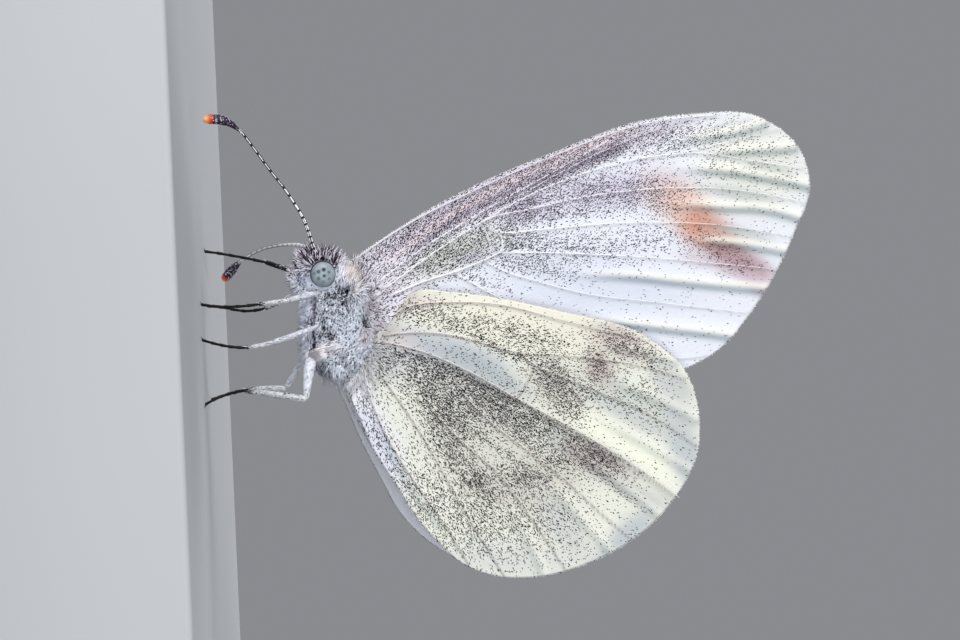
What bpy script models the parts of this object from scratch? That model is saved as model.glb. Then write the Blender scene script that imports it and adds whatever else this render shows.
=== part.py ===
"""Wood white butterfly standing with its wings closed over its back.

The head points to -X, the wings rise to +Z and the left side faces -Y. Lengths below are
millimetres, in a frame whose floor is Z = 0, and MM turns them into metres. A last step moves
the whole insect until the centre of its bounding box stands over the origin.
"""
import math

import bmesh
import bpy
import numpy as np
from mathutils import Vector

MM = 0.001
GAP = 0.15                     # clearance between neighbouring solids
LEFT, RIGHT = -1, 1            # sign of Y on each side

# Wings: each is drawn flat as (along, across), with its root at the origin, its length along the
# first axis and its tail side towards positive "across".
WING_THICKNESS = 0.5
WING_SPAN_STEPS = 20
WING_CHORD_STEPS = 13
FOREWING_ROOT = (-3.71, 8.37)
FOREWING_LEAN = -18.25         # degrees from upright, towards the head when negative
FOREWING_RIM = [               # from the shoulder along the costa, round the apex, to the tornus
    (-0.18, -2.98), (1.54, -3.41), (4.91, -4.06), (11.26, -4.43), (15.39, -4.35), (17.78, -3.83),
    (20.91, -2.48), (22.15, -0.43), (21.99, 1.48), (20.54, 3.27), (16.87, 6.38), (15.20, 7.28), (13.09, 7.60)]
FOREWING_INNER = [(-0.34, 0.49), (3.39, 2.69), (7.70, 4.99), (13.09, 7.60)]
HINDWING_ROOT = (-2.09, 7.66)
HINDWING_LEAN = 15.2
HINDWING_RIM = [
    (0.35, -0.67), (0.85, -1.72), (1.22, -2.80), (1.95, -3.48), (3.53, -3.77), (8.94, -4.03), (13.23, -3.75),
    (15.37, -2.62), (16.89, 0.81), (15.47, 5.12), (12.59, 7.80), (10.35, 8.85), (8.43, 9.13), (6.87, 8.84)]
HINDWING_INNER = {
    LEFT: [(-0.68, 1.79), (1.12, 4.07), (4.38, 7.29), (6.87, 8.84)],
    RIGHT: [(-1.15, 1.50), (0.83, 4.14), (3.74, 7.43), (6.87, 8.84)],
}

# How far each closed wing stands off the middle plane: a spacing, a flare at the root where it
# hugs the thorax, and one shallow camber that all four wings share.
FOREWING_SPACING = 0.42
HINDWING_SPACING = 1.14
ROOT_FLARE = 0.30
ROOT_FLARE_REACH = 2.0
CAMBER = 0.50
CAMBER_CENTRE = (-2.5, 15.0)
CAMBER_REACH = 7.0

# Trunk of the body: centres and half sizes (X, Y, Z), coat included.
HEAD_CENTRE = (-5.88, 0.0, 5.74)
HEAD_HALF = (1.24, 1.06, 1.30)
THORAX_CENTRE = (-3.00, 0.0, 6.44)
THORAX_HALF = (2.36, 1.45, 1.82)
THORAX_FULLNESS = 2.7          # 2 is an ellipsoid, more is boxier
ABDOMEN_AXIS = [(-1.95, 6.85), (1.15, 8.02), (4.0, 9.55), (6.2, 10.95)]
ABDOMEN_RADIUS = 0.72
ABDOMEN_WIDTH = 0.88           # width over height
EYE_CENTRE = (-5.93, 0.74, 5.94)
EYE_HALF = (0.63, 0.44, 0.58)

# Tubes: routes of the left side as (X, Y, Z), with Y outwards from the middle plane.
LIMB_RADIUS = 0.25
PALP_RADIUS = 0.25
PALP_ROUTE = [(-4.95, 0.38, 5.10), (-5.35, 0.38, 4.62), (-6.25, 0.38, 4.30)]
ANTENNAE = {
    "antenna_left": (LEFT, [
        (-6.50, 0.40, 6.10), (-7.25, 0.50, 5.48), (-8.61, 0.68, 5.05), (-10.07, 0.88, 4.32),
        (-11.15, 1.08, 3.55), (-12.18, 1.26, 2.87), (-13.10, 1.45, 2.18), (-13.54, 1.58, 1.56),
        (-13.66, 1.68, 0.99), (-13.63, 1.76, 0.48)]),
    "antenna_right": (RIGHT, [
        (-6.50, 0.40, 6.10), (-7.10, 0.90, 5.36), (-7.33, 1.75, 4.88), (-7.43, 2.85, 4.12),
        (-7.33, 3.95, 3.35), (-7.10, 5.05, 2.66), (-6.87, 5.90, 2.26), (-6.48, 6.80, 1.74), (-5.99, 7.55, 1.21)]),
}
LEGS = {
    "leg_fore_left": (LEFT, [
        (-5.20, 0.85, 5.95), (-4.85, 1.45, 5.10), (-4.75, 1.75, 4.28), (-4.62, 2.25, 2.95),
        (-4.55, 2.60, 1.68), (-4.62, 3.00, 0.65), (-4.72, 3.20, 0.0)]),
    "leg_mid_left": (LEFT, [
        (-3.60, 0.85, 5.95), (-3.20, 1.75, 5.05), (-2.75, 2.35, 3.40), (-2.55, 2.80, 2.10),
        (-2.65, 3.30, 1.30), (-3.02, 3.80, 0.0)]),
    "leg_hind_left": (LEFT, [
        (-2.60, 0.70, 5.60), (-1.70, 1.35, 5.10), (0.08, 1.90, 4.90), (-0.36, 2.55, 2.70),
        (-0.50, 2.85, 1.90), (-0.32, 3.20, 1.05), (0.10, 3.45, 0.0)]),
    "leg_fore_right": (RIGHT, [
        (-5.00, 0.85, 5.80), (-5.90, 1.62, 4.92), (-6.22, 1.95, 4.30), (-6.68, 2.45, 3.05),
        (-7.00, 2.80, 1.80), (-7.35, 3.20, 0.0)]),
    "leg_mid_right": (RIGHT, [
        (-3.60, 0.85, 5.95), (-5.02, 1.75, 4.85), (-4.78, 2.05, 3.90), (-4.42, 2.60, 2.95),
        (-4.33, 2.85, 2.10), (-4.58, 3.40, 0.70), (-4.66, 3.60, 0.0)]),
    "leg_hind_right": (RIGHT, [
        (-2.60, 0.70, 5.60), (-1.72, 1.35, 4.70), (-0.45, 1.90, 3.80), (-0.50, 2.40, 2.75),
        (-0.45, 2.75, 1.90), (-0.30, 3.15, 1.00), (-0.05, 3.40, 0.0)]),
}


def clear_scene():
    for item in list(bpy.data.objects):
        bpy.data.objects.remove(item, do_unlink=True)


def new_collection(name):
    group = bpy.data.collections.new(name)
    bpy.context.scene.collection.children.link(group)
    return group


def finish_material(name, colour, roughness, metallic=0.0):
    material = bpy.data.materials.new(name)
    material.use_nodes = True
    shader = material.node_tree.nodes["Principled BSDF"]
    shader.inputs["Base Color"].default_value = (*colour, 1.0)
    shader.inputs["Roughness"].default_value = roughness
    shader.inputs["Metallic"].default_value = metallic
    return material


def smooth_curve(points, count):
    """count + 1 evenly spaced points on a smooth curve through the given ones."""
    points = np.array(points, float)
    knots = np.concatenate([[0.0], np.cumsum(np.linalg.norm(np.diff(points, axis=0), axis=1))])
    slopes = np.gradient(points, knots, axis=0, edge_order=2)
    at = np.linspace(0.0, knots[-1], 40 * count + 1)
    span = np.clip(np.searchsorted(knots, at, side="right") - 1, 0, len(knots) - 2)
    width = (knots[span + 1] - knots[span])[:, None]
    t = (at - knots[span])[:, None] / width
    fine = ((2 * t**3 - 3 * t**2 + 1) * points[span] + (t**3 - 2 * t**2 + t) * width * slopes[span]
            + (3 * t**2 - 2 * t**3) * points[span + 1] + (t**3 - t**2) * width * slopes[span + 1])
    run = np.concatenate([[0.0], np.cumsum(np.linalg.norm(np.diff(fine, axis=0), axis=1))])
    even = np.linspace(0.0, run[-1], count + 1)
    return np.stack([np.interp(even, run, column) for column in fine.T], axis=1)


def settle(piece, name, group, material, smooth_angle=math.radians(50)):
    """Names a fresh mesh object, files it in its collection and shades it smooth."""
    piece.name = name
    piece.data.name = name
    for old in list(piece.users_collection):
        old.objects.unlink(piece)
    group.objects.link(piece)
    piece.data.materials.clear()
    piece.data.materials.append(material)
    piece.data.shade_smooth()
    piece.data.set_sharp_from_angle(angle=smooth_angle)
    return piece


def wing_stand_off(x, z, reach, spacing):
    """Distance of a closed wing from the middle plane, reach millimetres out from its root."""
    camber = math.exp(-((x - CAMBER_CENTRE[0])**2 + (z - CAMBER_CENTRE[1])**2) / (2 * CAMBER_REACH**2))
    return spacing + ROOT_FLARE * math.exp(-reach / ROOT_FLARE_REACH) + CAMBER * camber


def make_wing(name, side, rim, inner, root, lean, spacing, group, material):
    """A wing spanned between its front, outer, inner and root edges, closed to a plate by Solidify."""
    rows, columns = WING_SPAN_STEPS, WING_CHORD_STEPS
    edge = smooth_curve(rim, rows + columns)
    front, tip = edge[:rows + 1], edge[rows:]
    back = smooth_curve(inner, rows)
    base = np.linspace(rim[0], inner[0], columns + 1)
    ahead = (math.sin(math.radians(lean)), math.cos(math.radians(lean)))
    bpy.ops.mesh.primitive_grid_add(x_subdivisions=rows, y_subdivisions=columns, size=1.0)
    piece = bpy.context.object
    for vertex in piece.data.vertices:
        s, t = vertex.co.x + 0.5, vertex.co.y + 0.5
        i, j = round(s * rows), round(t * columns)
        corners = ((1 - s) * ((1 - t) * front[0] + t * back[0])
                   + s * ((1 - t) * front[-1] + t * back[-1]))
        along, across = ((1 - t) * front[i] + t * back[i] + (1 - s) * base[j] + s * tip[j] - corners)
        x = root[0] + ahead[0] * along + ahead[1] * across
        z = root[1] + ahead[1] * along - ahead[0] * across
        y = side * wing_stand_off(x, z, math.hypot(along, across), spacing)
        vertex.co = Vector((x, y, z)) * MM
    plate = piece.modifiers.new("plate", "SOLIDIFY")
    plate.thickness = WING_THICKNESS * MM
    plate.offset = 0.0
    plate.use_even_offset = True
    return settle(piece, name, group, material)


def make_blob(name, centre, half, fullness, group, material, segments=20, rings=12):
    """A closed rounded form, an ellipsoid at a fullness of 2 and boxier above it."""
    bpy.ops.mesh.primitive_uv_sphere_add(segments=segments, ring_count=rings, radius=1.0)
    piece = bpy.context.object
    for vertex in piece.data.vertices:
        direction = vertex.co.normalized()
        size = sum(abs(part)**fullness for part in direction) ** (-1.0 / fullness)
        vertex.co = Vector(c + size * part * h for c, part, h in zip(centre, direction, half)) * MM
    return settle(piece, name, group, material)


def make_abdomen(name, grow, group, material):
    """A sphere drawn out along the abdomen's curved axis, full near its base and slimmer behind."""
    bpy.ops.mesh.primitive_uv_sphere_add(segments=16, ring_count=18, radius=1.0)
    piece = bpy.context.object
    steps = 60
    axis = smooth_curve(ABDOMEN_AXIS, steps)
    ahead = np.gradient(axis, axis=0)
    ahead /= np.linalg.norm(ahead, axis=1)[:, None]
    for vertex in piece.data.vertices:
        place = min(max((1.0 - vertex.co.z) / 2, 0.0), 1.0)
        index = min(int(round(place * steps)), steps)
        profile = math.sqrt(1.0 - abs(2 * place - 1)**3.5) * (0.94 + 0.12 * math.sin(math.pi * place) - 0.30 * place)
        around = math.atan2(vertex.co.y, vertex.co.x)
        radius = (ABDOMEN_RADIUS * profile + grow) if 0.0 < place < 1.0 else 0.0
        up = radius * math.cos(around)
        out = radius * math.sin(around) * ABDOMEN_WIDTH
        reach = grow * (1 if place == 1.0 else -1 if place == 0.0 else 0)
        x = axis[index][0] - ahead[index][1] * up + ahead[index][0] * reach
        z = axis[index][1] + ahead[index][0] * up + ahead[index][1] * reach
        vertex.co = Vector((x, out, z)) * MM
    return settle(piece, name, group, material)


def make_tube(name, side, route, radius, group, material, smooth_steps=0):
    """A round limb along a route, made from a bevelled curve and welded to one closed mesh."""
    points = smooth_curve(route, smooth_steps) if smooth_steps else np.array(route)
    wire = bpy.data.curves.new(name, "CURVE")
    wire.dimensions = "3D"
    wire.bevel_depth = radius * MM
    wire.bevel_resolution = 2
    wire.use_fill_caps = True
    spline = wire.splines.new("POLY")
    spline.points.add(len(points) - 1)
    for point, (x, y, z) in zip(spline.points, points):
        point.co = (x * MM, side * y * MM, z * MM, 1.0)
    drawn = bpy.data.objects.new(name + "_route", wire)
    group.objects.link(drawn)
    evaluated = drawn.evaluated_get(bpy.context.evaluated_depsgraph_get())
    mesh = bpy.data.meshes.new_from_object(evaluated)
    bpy.data.objects.remove(drawn, do_unlink=True)
    cage = bmesh.new()
    cage.from_mesh(mesh)
    bmesh.ops.remove_doubles(cage, verts=cage.verts, dist=1e-6)
    bmesh.ops.recalc_face_normals(cage, faces=cage.faces)
    cage.to_mesh(mesh)
    cage.free()
    piece = bpy.data.objects.new(name, mesh)
    group.objects.link(piece)
    return settle(piece, name, group, material)


def trim_at_floor(piece):
    """Cuts a limb off level with the floor, which leaves a small flat for it to stand on."""
    cage = bmesh.new()
    cage.from_mesh(piece.data)
    everything = cage.verts[:] + cage.edges[:] + cage.faces[:]
    bmesh.ops.bisect_plane(cage, geom=everything, plane_co=(0, 0, 0), plane_no=(0, 0, -1), clear_outer=True)
    bmesh.ops.holes_fill(cage, edges=[edge for edge in cage.edges if edge.is_boundary], sides=0)
    bmesh.ops.recalc_face_normals(cage, faces=cage.faces)
    cage.to_mesh(piece.data)
    cage.free()


def carve(piece, cutter):
    """Cuts the space of a neighbour, grown by the gap, out of a piece."""
    cut = piece.modifiers.new("clear_of_" + cutter.name, "BOOLEAN")
    cut.operation = "DIFFERENCE"
    cut.solver = "EXACT"
    cut.object = cutter


def as_cutter(piece):
    piece.hide_render = True
    piece.display_type = "WIRE"
    return piece


def grown(half):
    return tuple(part + GAP for part in half)


def sided(centre, side):
    return (centre[0], side * centre[1], centre[2])


def extended_below_floor(route):
    """Carries the last stretch of a leg on below the floor, where it is then cut off flat."""
    last, before = Vector(route[-1]), Vector(route[-2])
    return route + [tuple(last + (last - before).normalized() * 2 * LIMB_RADIUS)]


def make_butterfly():
    body = new_collection("wood_white_butterfly")
    cutters = new_collection("cutters")
    coat = finish_material("body_scales", (0.62, 0.63, 0.70), 0.8)
    eye_gloss = finish_material("eye", (0.27, 0.38, 0.40), 0.25)
    limb = finish_material("limb", (0.66, 0.66, 0.70), 0.6)
    feeler = finish_material("feeler", (0.22, 0.16, 0.20), 0.55)
    fore_scales = finish_material("forewing_scales", (0.70, 0.70, 0.76), 0.75)
    hind_scales = finish_material("hindwing_scales", (0.66, 0.66, 0.58), 0.75)

    head = make_blob("head", HEAD_CENTRE, HEAD_HALF, 2.2, body, coat)
    head_space = as_cutter(make_blob("head_space", HEAD_CENTRE, grown(HEAD_HALF), 2.2, cutters, coat))
    thorax = make_blob("thorax", THORAX_CENTRE, THORAX_HALF, THORAX_FULLNESS, body, coat, 24, 14)
    thorax_space = as_cutter(make_blob(
        "thorax_space", THORAX_CENTRE, grown(THORAX_HALF), THORAX_FULLNESS, cutters, coat, 24, 14))
    abdomen = make_abdomen("abdomen", 0.0, body, coat)
    abdomen_space = as_cutter(make_abdomen("abdomen_space", GAP, cutters, coat))
    carve(thorax, head_space)
    carve(abdomen, thorax_space)

    for side, label in ((LEFT, "left"), (RIGHT, "right")):
        eye_centre = sided(EYE_CENTRE, side)
        make_blob("eye_" + label, eye_centre, EYE_HALF, 2.0, body, eye_gloss, 16, 10)
        eye_space = as_cutter(make_blob(
            "eye_space_" + label, eye_centre, tuple(h + 0.5 * GAP for h in EYE_HALF), 2.0, cutters, coat, 16, 10))
        carve(head, eye_space)

        palp = make_tube("palp_" + label, side, PALP_ROUTE, PALP_RADIUS, body, coat, 6)
        palp_space = as_cutter(make_tube(
            "palp_space_" + label, side, PALP_ROUTE, PALP_RADIUS + GAP, cutters, coat, 6))
        carve(head, palp_space)
        carve(palp, thorax_space)

        forewing = make_wing("forewing_" + label, side, FOREWING_RIM, FOREWING_INNER,
                             FOREWING_ROOT, FOREWING_LEAN, FOREWING_SPACING, body, fore_scales)
        hindwing = make_wing("hindwing_" + label, side, HINDWING_RIM, HINDWING_INNER[side],
                             HINDWING_ROOT, HINDWING_LEAN, HINDWING_SPACING, body, hind_scales)
        carve(forewing, thorax_space)
        carve(forewing, head_space)
        carve(hindwing, thorax_space)
        carve(hindwing, abdomen_space)

    for name, (side, route) in ANTENNAE.items():
        carve(make_tube(name, side, route, LIMB_RADIUS, body, feeler, 22), head_space)
    for name, (side, route) in LEGS.items():
        leg = make_tube(name, side, extended_below_floor(route), LIMB_RADIUS, body, limb)
        trim_at_floor(leg)
        carve(leg, thorax_space)
        carve(leg, head_space)
    return body


def stand_over_origin(body):
    """Hangs every piece on one empty and moves it until the bounding box is centred over the origin."""
    graph = bpy.context.evaluated_depsgraph_get()
    corners = []
    for piece in body.objects:
        mesh = piece.evaluated_get(graph).to_mesh()
        corners += [vertex.co.copy() for vertex in mesh.vertices]
    middle = [(min(c[axis] for c in corners) + max(c[axis] for c in corners)) / 2 for axis in (0, 1)]
    stance = bpy.data.objects.new("stance", None)
    bpy.context.scene.collection.objects.link(stance)
    for group in bpy.context.scene.collection.children:
        for piece in group.objects:
            piece.parent = stance
    stance.location = (-middle[0], -middle[1], 0.0)


clear_scene()
stand_over_origin(make_butterfly())
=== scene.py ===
"""Looks of a wood white butterfly standing with its wings closed.

Shapes are worked out in millimetres, in a frame whose floor is Z = 0, with the head towards -X and
the left side towards -Y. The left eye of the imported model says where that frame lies.
"""
import math

import bmesh
import bpy
import numpy as np
from mathutils import Matrix, Vector


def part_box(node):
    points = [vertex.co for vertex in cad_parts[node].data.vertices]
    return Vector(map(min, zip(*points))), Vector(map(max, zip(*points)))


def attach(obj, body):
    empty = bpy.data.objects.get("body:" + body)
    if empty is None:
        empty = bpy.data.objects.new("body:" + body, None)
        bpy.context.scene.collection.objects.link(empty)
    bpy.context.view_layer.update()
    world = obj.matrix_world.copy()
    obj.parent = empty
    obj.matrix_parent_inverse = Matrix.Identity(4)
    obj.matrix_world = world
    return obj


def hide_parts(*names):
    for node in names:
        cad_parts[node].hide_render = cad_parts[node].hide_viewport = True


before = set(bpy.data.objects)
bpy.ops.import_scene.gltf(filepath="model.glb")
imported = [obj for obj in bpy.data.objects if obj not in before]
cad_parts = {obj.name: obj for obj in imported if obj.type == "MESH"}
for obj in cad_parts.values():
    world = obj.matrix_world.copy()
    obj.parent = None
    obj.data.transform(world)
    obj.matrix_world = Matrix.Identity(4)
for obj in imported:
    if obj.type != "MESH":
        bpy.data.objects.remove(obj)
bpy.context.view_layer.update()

MM = 0.001
LEFT, RIGHT = -1, 1
EYE_CENTRE = np.array((-5.93, 0.74, 5.94))
eye_low, eye_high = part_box("eye_left")
STANCE = (np.array(eye_low) + np.array(eye_high)) / 2 / MM - EYE_CENTRE * (1, LEFT, 1)
RANDOM = np.random.default_rng(22)


# ---------------------------------------------------------------- camera, lights and floor

FRAME_WIDTH = 46.56            # millimetres across the picture, at the left wings
VIEW_CENTRE = np.array((-3.39, -0.9, 13.45))
VIEW_DISTANCE = 300.0
CAMERA_TURN = math.radians(2.5)   # the picture's right is straight up, but for this


def world_point(point):
    return Vector((np.array(point) + STANCE) * MM)


def set_camera():
    """The camera lies on its side, level with the wings, so that the animal's back is to the right."""
    lens = bpy.data.cameras.new("camera")
    lens.type = "PERSP"
    lens.sensor_width = 36.0
    lens.lens = lens.sensor_width * VIEW_DISTANCE / FRAME_WIDTH
    lens.clip_start = 0.01
    lens.clip_end = 10.0
    camera = bpy.data.objects.new("camera", lens)
    bpy.context.scene.collection.objects.link(camera)
    sine, cosine = math.sin(CAMERA_TURN), math.cos(CAMERA_TURN)
    axes = Matrix(((sine, -cosine, 0.0), (0.0, 0.0, -1.0), (cosine, sine, 0.0))).to_4x4()
    axes.translation = world_point(VIEW_CENTRE - np.array((0.0, VIEW_DISTANCE, 0.0)))
    camera.matrix_world = axes
    bpy.context.scene.camera = camera


def add_area_light(name, place, aim, size, power, colour):
    lamp = bpy.data.lights.new(name, "AREA")
    lamp.shape = "DISK"
    lamp.size = size * MM
    lamp.energy = power
    lamp.color = colour
    holder = bpy.data.objects.new(name, lamp)
    bpy.context.scene.collection.objects.link(holder)
    holder.location = world_point(place)
    holder.rotation_euler = (world_point(aim) - holder.location).to_track_quat("-Z", "Y").to_euler()
    holder.visible_camera = False


def set_lights():
    add_area_light("key", (-300, -245, 60), (-3, 0, 11), 110, 1.26, (1.0, 0.985, 0.96))
    add_area_light("fill", (40, -330, 6), (-3, 0, 9), 300, 0.80, (0.93, 0.96, 1.0))
    add_area_light("top", (-70, 10, 330), (-2, 0, 14), 120, 0.20, (1.0, 1.0, 1.0))
    add_area_light("rim", (60, 220, 170), (-3, 0, 12), 160, 0.35, (1.0, 1.0, 1.0))
    add_area_light("low_back", (-90, 210, 25), (-2, 0, 4), 160, 0.50, (1.0, 1.0, 1.0))
    world = bpy.data.worlds.new("studio")
    world.use_nodes = True
    background = world.node_tree.nodes["Background"]
    background.inputs["Color"].default_value = (0.60, 0.62, 0.66, 1.0)
    background.inputs["Strength"].default_value = 0.42
    bpy.context.scene.world = world
    bpy.context.scene.view_settings.view_transform = "Standard"


# ---------------------------------------------------------------- shader helpers

def tint(red, green, blue):
    """A colour given as screen values from 0 to 255, as the shader needs it."""
    channels = [value / 255 for value in (red, green, blue)]
    return tuple(c / 12.92 if c <= 0.04045 else ((c + 0.055) / 1.055)**2.4 for c in channels) + (1.0,)


class Shade:
    """One output of a shader node. Arithmetic on it adds Math nodes."""

    def __init__(self, paint, socket):
        self.paint = paint
        self.socket = socket

    def math(self, operation, first, second):
        return self.paint.add("ShaderNodeMath", {"operation": operation}, {0: first, 1: second})

    def __add__(self, other):
        return self.math("ADD", self, other)

    def __radd__(self, other):
        return self.math("ADD", other, self)

    def __sub__(self, other):
        return self.math("SUBTRACT", self, other)

    def __rsub__(self, other):
        return self.math("SUBTRACT", other, self)

    def __mul__(self, other):
        return self.math("MULTIPLY", self, other)

    def __rmul__(self, other):
        return self.math("MULTIPLY", other, self)

    def between(self, low, high):
        """0 below low, 1 above high and a smooth step between them."""
        return self.paint.add("ShaderNodeMapRange", {"interpolation_type": "SMOOTHSTEP"},
                              {"Value": self, "From Min": low, "From Max": high})


class Paint:
    """A Principled material, filled in one node at a time."""

    def __init__(self, name, roughness=0.6, **uniform):
        self.material = bpy.data.materials.new(name)
        self.material.use_nodes = True
        self.tree = self.material.node_tree
        self.shader = self.tree.nodes["Principled BSDF"]
        self.shader.inputs["Roughness"].default_value = roughness
        for socket, value in uniform.items():
            self.shader.inputs[socket.replace("_", " ")].default_value = value

    def add(self, kind, settings=None, inputs=None, output=0):
        node = self.tree.nodes.new(kind)
        for key, value in (settings or {}).items():
            setattr(node, key, value)
        for key, value in (inputs or {}).items():
            self.feed(node.inputs[key], value)
        return Shade(self, node.outputs[output])

    def feed(self, socket, value):
        if isinstance(value, Shade):
            self.tree.links.new(value.socket, socket)
        else:
            socket.default_value = value

    def mix(self, factor, first, second):
        return self.add("ShaderNodeMix", {"data_type": "RGBA"}, {0: factor, 6: first, 7: second}, output=2)

    def attribute(self, name, output="Fac"):
        return self.add("ShaderNodeAttribute", {"attribute_name": name}, output=output)

    def flat_place(self, along, across):
        """The unwrapped place of a point, stretched by the given amounts."""
        unwrap = self.add("ShaderNodeUVMap", {"uv_map": "OFBake"})
        stretch = (along, across, 1.0)
        return self.add("ShaderNodeVectorMath", {"operation": "MULTIPLY"}, {0: unwrap, 1: stretch})

    def solid_place(self, scale=1.0):
        """A point's own place, in millimetres times the scale."""
        place = self.add("ShaderNodeTexCoord", output="Object")
        return self.add("ShaderNodeVectorMath", {"operation": "SCALE"}, {0: place, "Scale": scale / MM})

    def noise(self, place, scale, detail=2.0):
        return self.add("ShaderNodeTexNoise", None, {"Vector": place, "Scale": scale, "Detail": detail})

    def cells(self, place, scale):
        """Distance to the nearest of many scattered points: 0 at the middle of each cell."""
        return self.add("ShaderNodeTexVoronoi", None, {"Vector": place, "Scale": scale}, output="Distance")

    def own_colour(self):
        """The colour stored in the mesh."""
        return self.attribute("ground", "Color")

    def colour(self, value):
        self.feed(self.shader.inputs["Base Color"], value)
        return self

    def bump(self, height, distance, strength):
        """Fine relief, distance in millimetres."""
        inputs = {"Height": height, "Distance": distance * MM, "Strength": strength}
        self.feed(self.shader.inputs["Normal"], self.add("ShaderNodeBump", None, inputs, output="Normal"))
        return self


# ---------------------------------------------------------------- curves, fields and meshes

CURVE_FINENESS = 40            # measured steps for each point of a smooth curve
LINE_PIECES = 24               # straight pieces of a line that colours or relief follow
WAVES = 5                      # waves in each octave of a ripple
TUFT_PATCH = 0.0030            # width of each tuft's patch on the unwrap


def run_along(points):
    """Distance from the first point to each, along the line through them."""
    return np.concatenate([[0.0], np.cumsum(np.linalg.norm(np.diff(points, axis=0), axis=1))])


def smooth_curve(points, count):
    """count + 1 evenly spaced points on a smooth curve through the given ones."""
    points = np.array(points, float)
    knots = run_along(points)
    slopes = np.gradient(points, knots, axis=0, edge_order=2 if len(points) > 2 else 1)
    at = np.linspace(0.0, knots[-1], CURVE_FINENESS * count + 1)
    span = np.clip(np.searchsorted(knots, at, side="right") - 1, 0, len(knots) - 2)
    width = (knots[span + 1] - knots[span])[:, None]
    t = (at - knots[span])[:, None] / width
    fine = ((2 * t**3 - 3 * t**2 + 1) * points[span] + (t**3 - 2 * t**2 + t) * width * slopes[span]
            + (3 * t**2 - 2 * t**3) * points[span + 1] + (t**3 - t**2) * width * slopes[span + 1])
    run = run_along(fine)
    even = np.linspace(0.0, run[-1], count + 1)
    return np.stack([np.interp(even, run, column) for column in fine.T], axis=1)


def smooth_step(value, low, high):
    t = np.clip((value - low) / (high - low), 0.0, 1.0)
    return t * t * (3 - 2 * t)


def bell(offset, width):
    """1 at no offset, fading to 0 beyond the width."""
    return np.exp(-(offset / width)**2)


def blended(colour, other, share):
    """Colours of which a share is replaced by another colour."""
    share = np.reshape(share, (-1, 1))
    return colour * (1 - share) + np.array(other) * share


def unit(vectors):
    return vectors / np.linalg.norm(vectors, axis=-1, keepdims=True)


def laid_flat(headings, normals):
    """Headings turned down onto the surface that the normals stand on."""
    return unit(headings - normals * (headings * normals).sum(axis=1)[:, None])


def forward_along(route):
    return unit(np.gradient(route, axis=0))


def route_length(route):
    return np.linalg.norm(np.diff(route, axis=0), axis=1).sum()


def line_field(points, line):
    """Signed distance from a smooth line, positive to its tail side, and how far along it, 0 to 1."""
    route = smooth_curve(line, LINE_PIECES)
    nearest = np.full(len(points), 1e9)
    signed = np.zeros(len(points))
    along = np.zeros(len(points))
    for index in range(LINE_PIECES):
        start, step = route[index], route[index + 1] - route[index]
        share = np.clip(((points - start) @ step) / (step @ step), 0.0, 1.0)
        offset = points - start - share[:, None] * step
        distance = np.hypot(offset[:, 0], offset[:, 1])
        closer = distance < nearest
        side = np.sign(step[0] * offset[:, 1] - step[1] * offset[:, 0])
        nearest[closer] = distance[closer]
        signed[closer] = (side * distance)[closer]
        along[closer] = (index + share[closer]) / LINE_PIECES
    return signed, along


def zone(points, spot):
    """A soft oval zone: (along, across, half length, half width, turn in degrees)."""
    length, width, turn = spot[2:5]
    angle = math.radians(turn)
    offset = points - spot[:2]
    run = offset[:, 0] * math.cos(angle) + offset[:, 1] * math.sin(angle)
    off = offset[:, 1] * math.cos(angle) - offset[:, 0] * math.sin(angle)
    return np.exp(-((run / length)**2 + (off / width)**2))


def ripple(points, scale, seed, octaves=3):
    """Smooth random variation from about -1 to 1, from a few sums of waves."""
    picks = np.random.default_rng(seed)
    total = np.zeros(len(points))
    for octave in range(octaves):
        for _ in range(WAVES):
            turn, phase = picks.uniform(0, 2 * math.pi, 2)
            heading = np.array((math.cos(turn), math.sin(turn))) / scale * 2**octave * picks.uniform(0.7, 1.4)
            total += np.sin(points @ heading * 2 * math.pi + phase) / 2**octave
    return total / WAVES


class Chart:
    """Values worked out once on a fine grid over a wing's drawing, and read off between its points."""

    STEP = 0.05
    LOW, HIGH = (-2.5, -6.0), (23.5, 11.0)

    def __init__(self, work):
        self.low = np.array(self.LOW, float)
        self.shape = tuple(np.ceil((np.array(self.HIGH) - self.LOW) / self.STEP).astype(int) + 1)
        x, y = np.meshgrid(*(np.arange(n) for n in self.shape), indexing="ij")
        values = work(np.stack([x.ravel(), y.ravel()], axis=1) * self.STEP + self.low)
        self.values = values.reshape(self.shape + values.shape[1:])

    def __call__(self, points):
        place = (points - self.low) / self.STEP
        cell = np.clip(place.astype(int), 0, np.array(self.shape) - 2)
        a, b = (place - cell).T
        if self.values.ndim == 3:
            a, b = a[:, None], b[:, None]
        i, j = cell.T
        return ((1 - a) * ((1 - b) * self.values[i, j] + b * self.values[i, j + 1])
                + a * ((1 - b) * self.values[i + 1, j] + b * self.values[i + 1, j + 1]))


def fill_mesh(name, vertices, faces):
    """A mesh from arrays: faces is one array of triangles or quads, or a list of both."""
    groups = faces if isinstance(faces, list) else [faces]
    mesh = bpy.data.meshes.new(name)
    mesh.vertices.add(len(vertices))
    mesh.vertices.foreach_set("co", np.asarray(vertices, np.float32).ravel())
    corners = np.concatenate([group.ravel() for group in groups])
    sizes = np.concatenate([np.full(len(group), group.shape[1]) for group in groups])
    mesh.loops.add(len(corners))
    mesh.loops.foreach_set("vertex_index", corners.astype(np.int32))
    mesh.polygons.add(len(sizes))
    mesh.polygons.foreach_set("loop_start", np.concatenate([[0], np.cumsum(sizes)[:-1]]).astype(np.int32))
    mesh.update(calc_edges=True)
    return mesh


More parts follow.
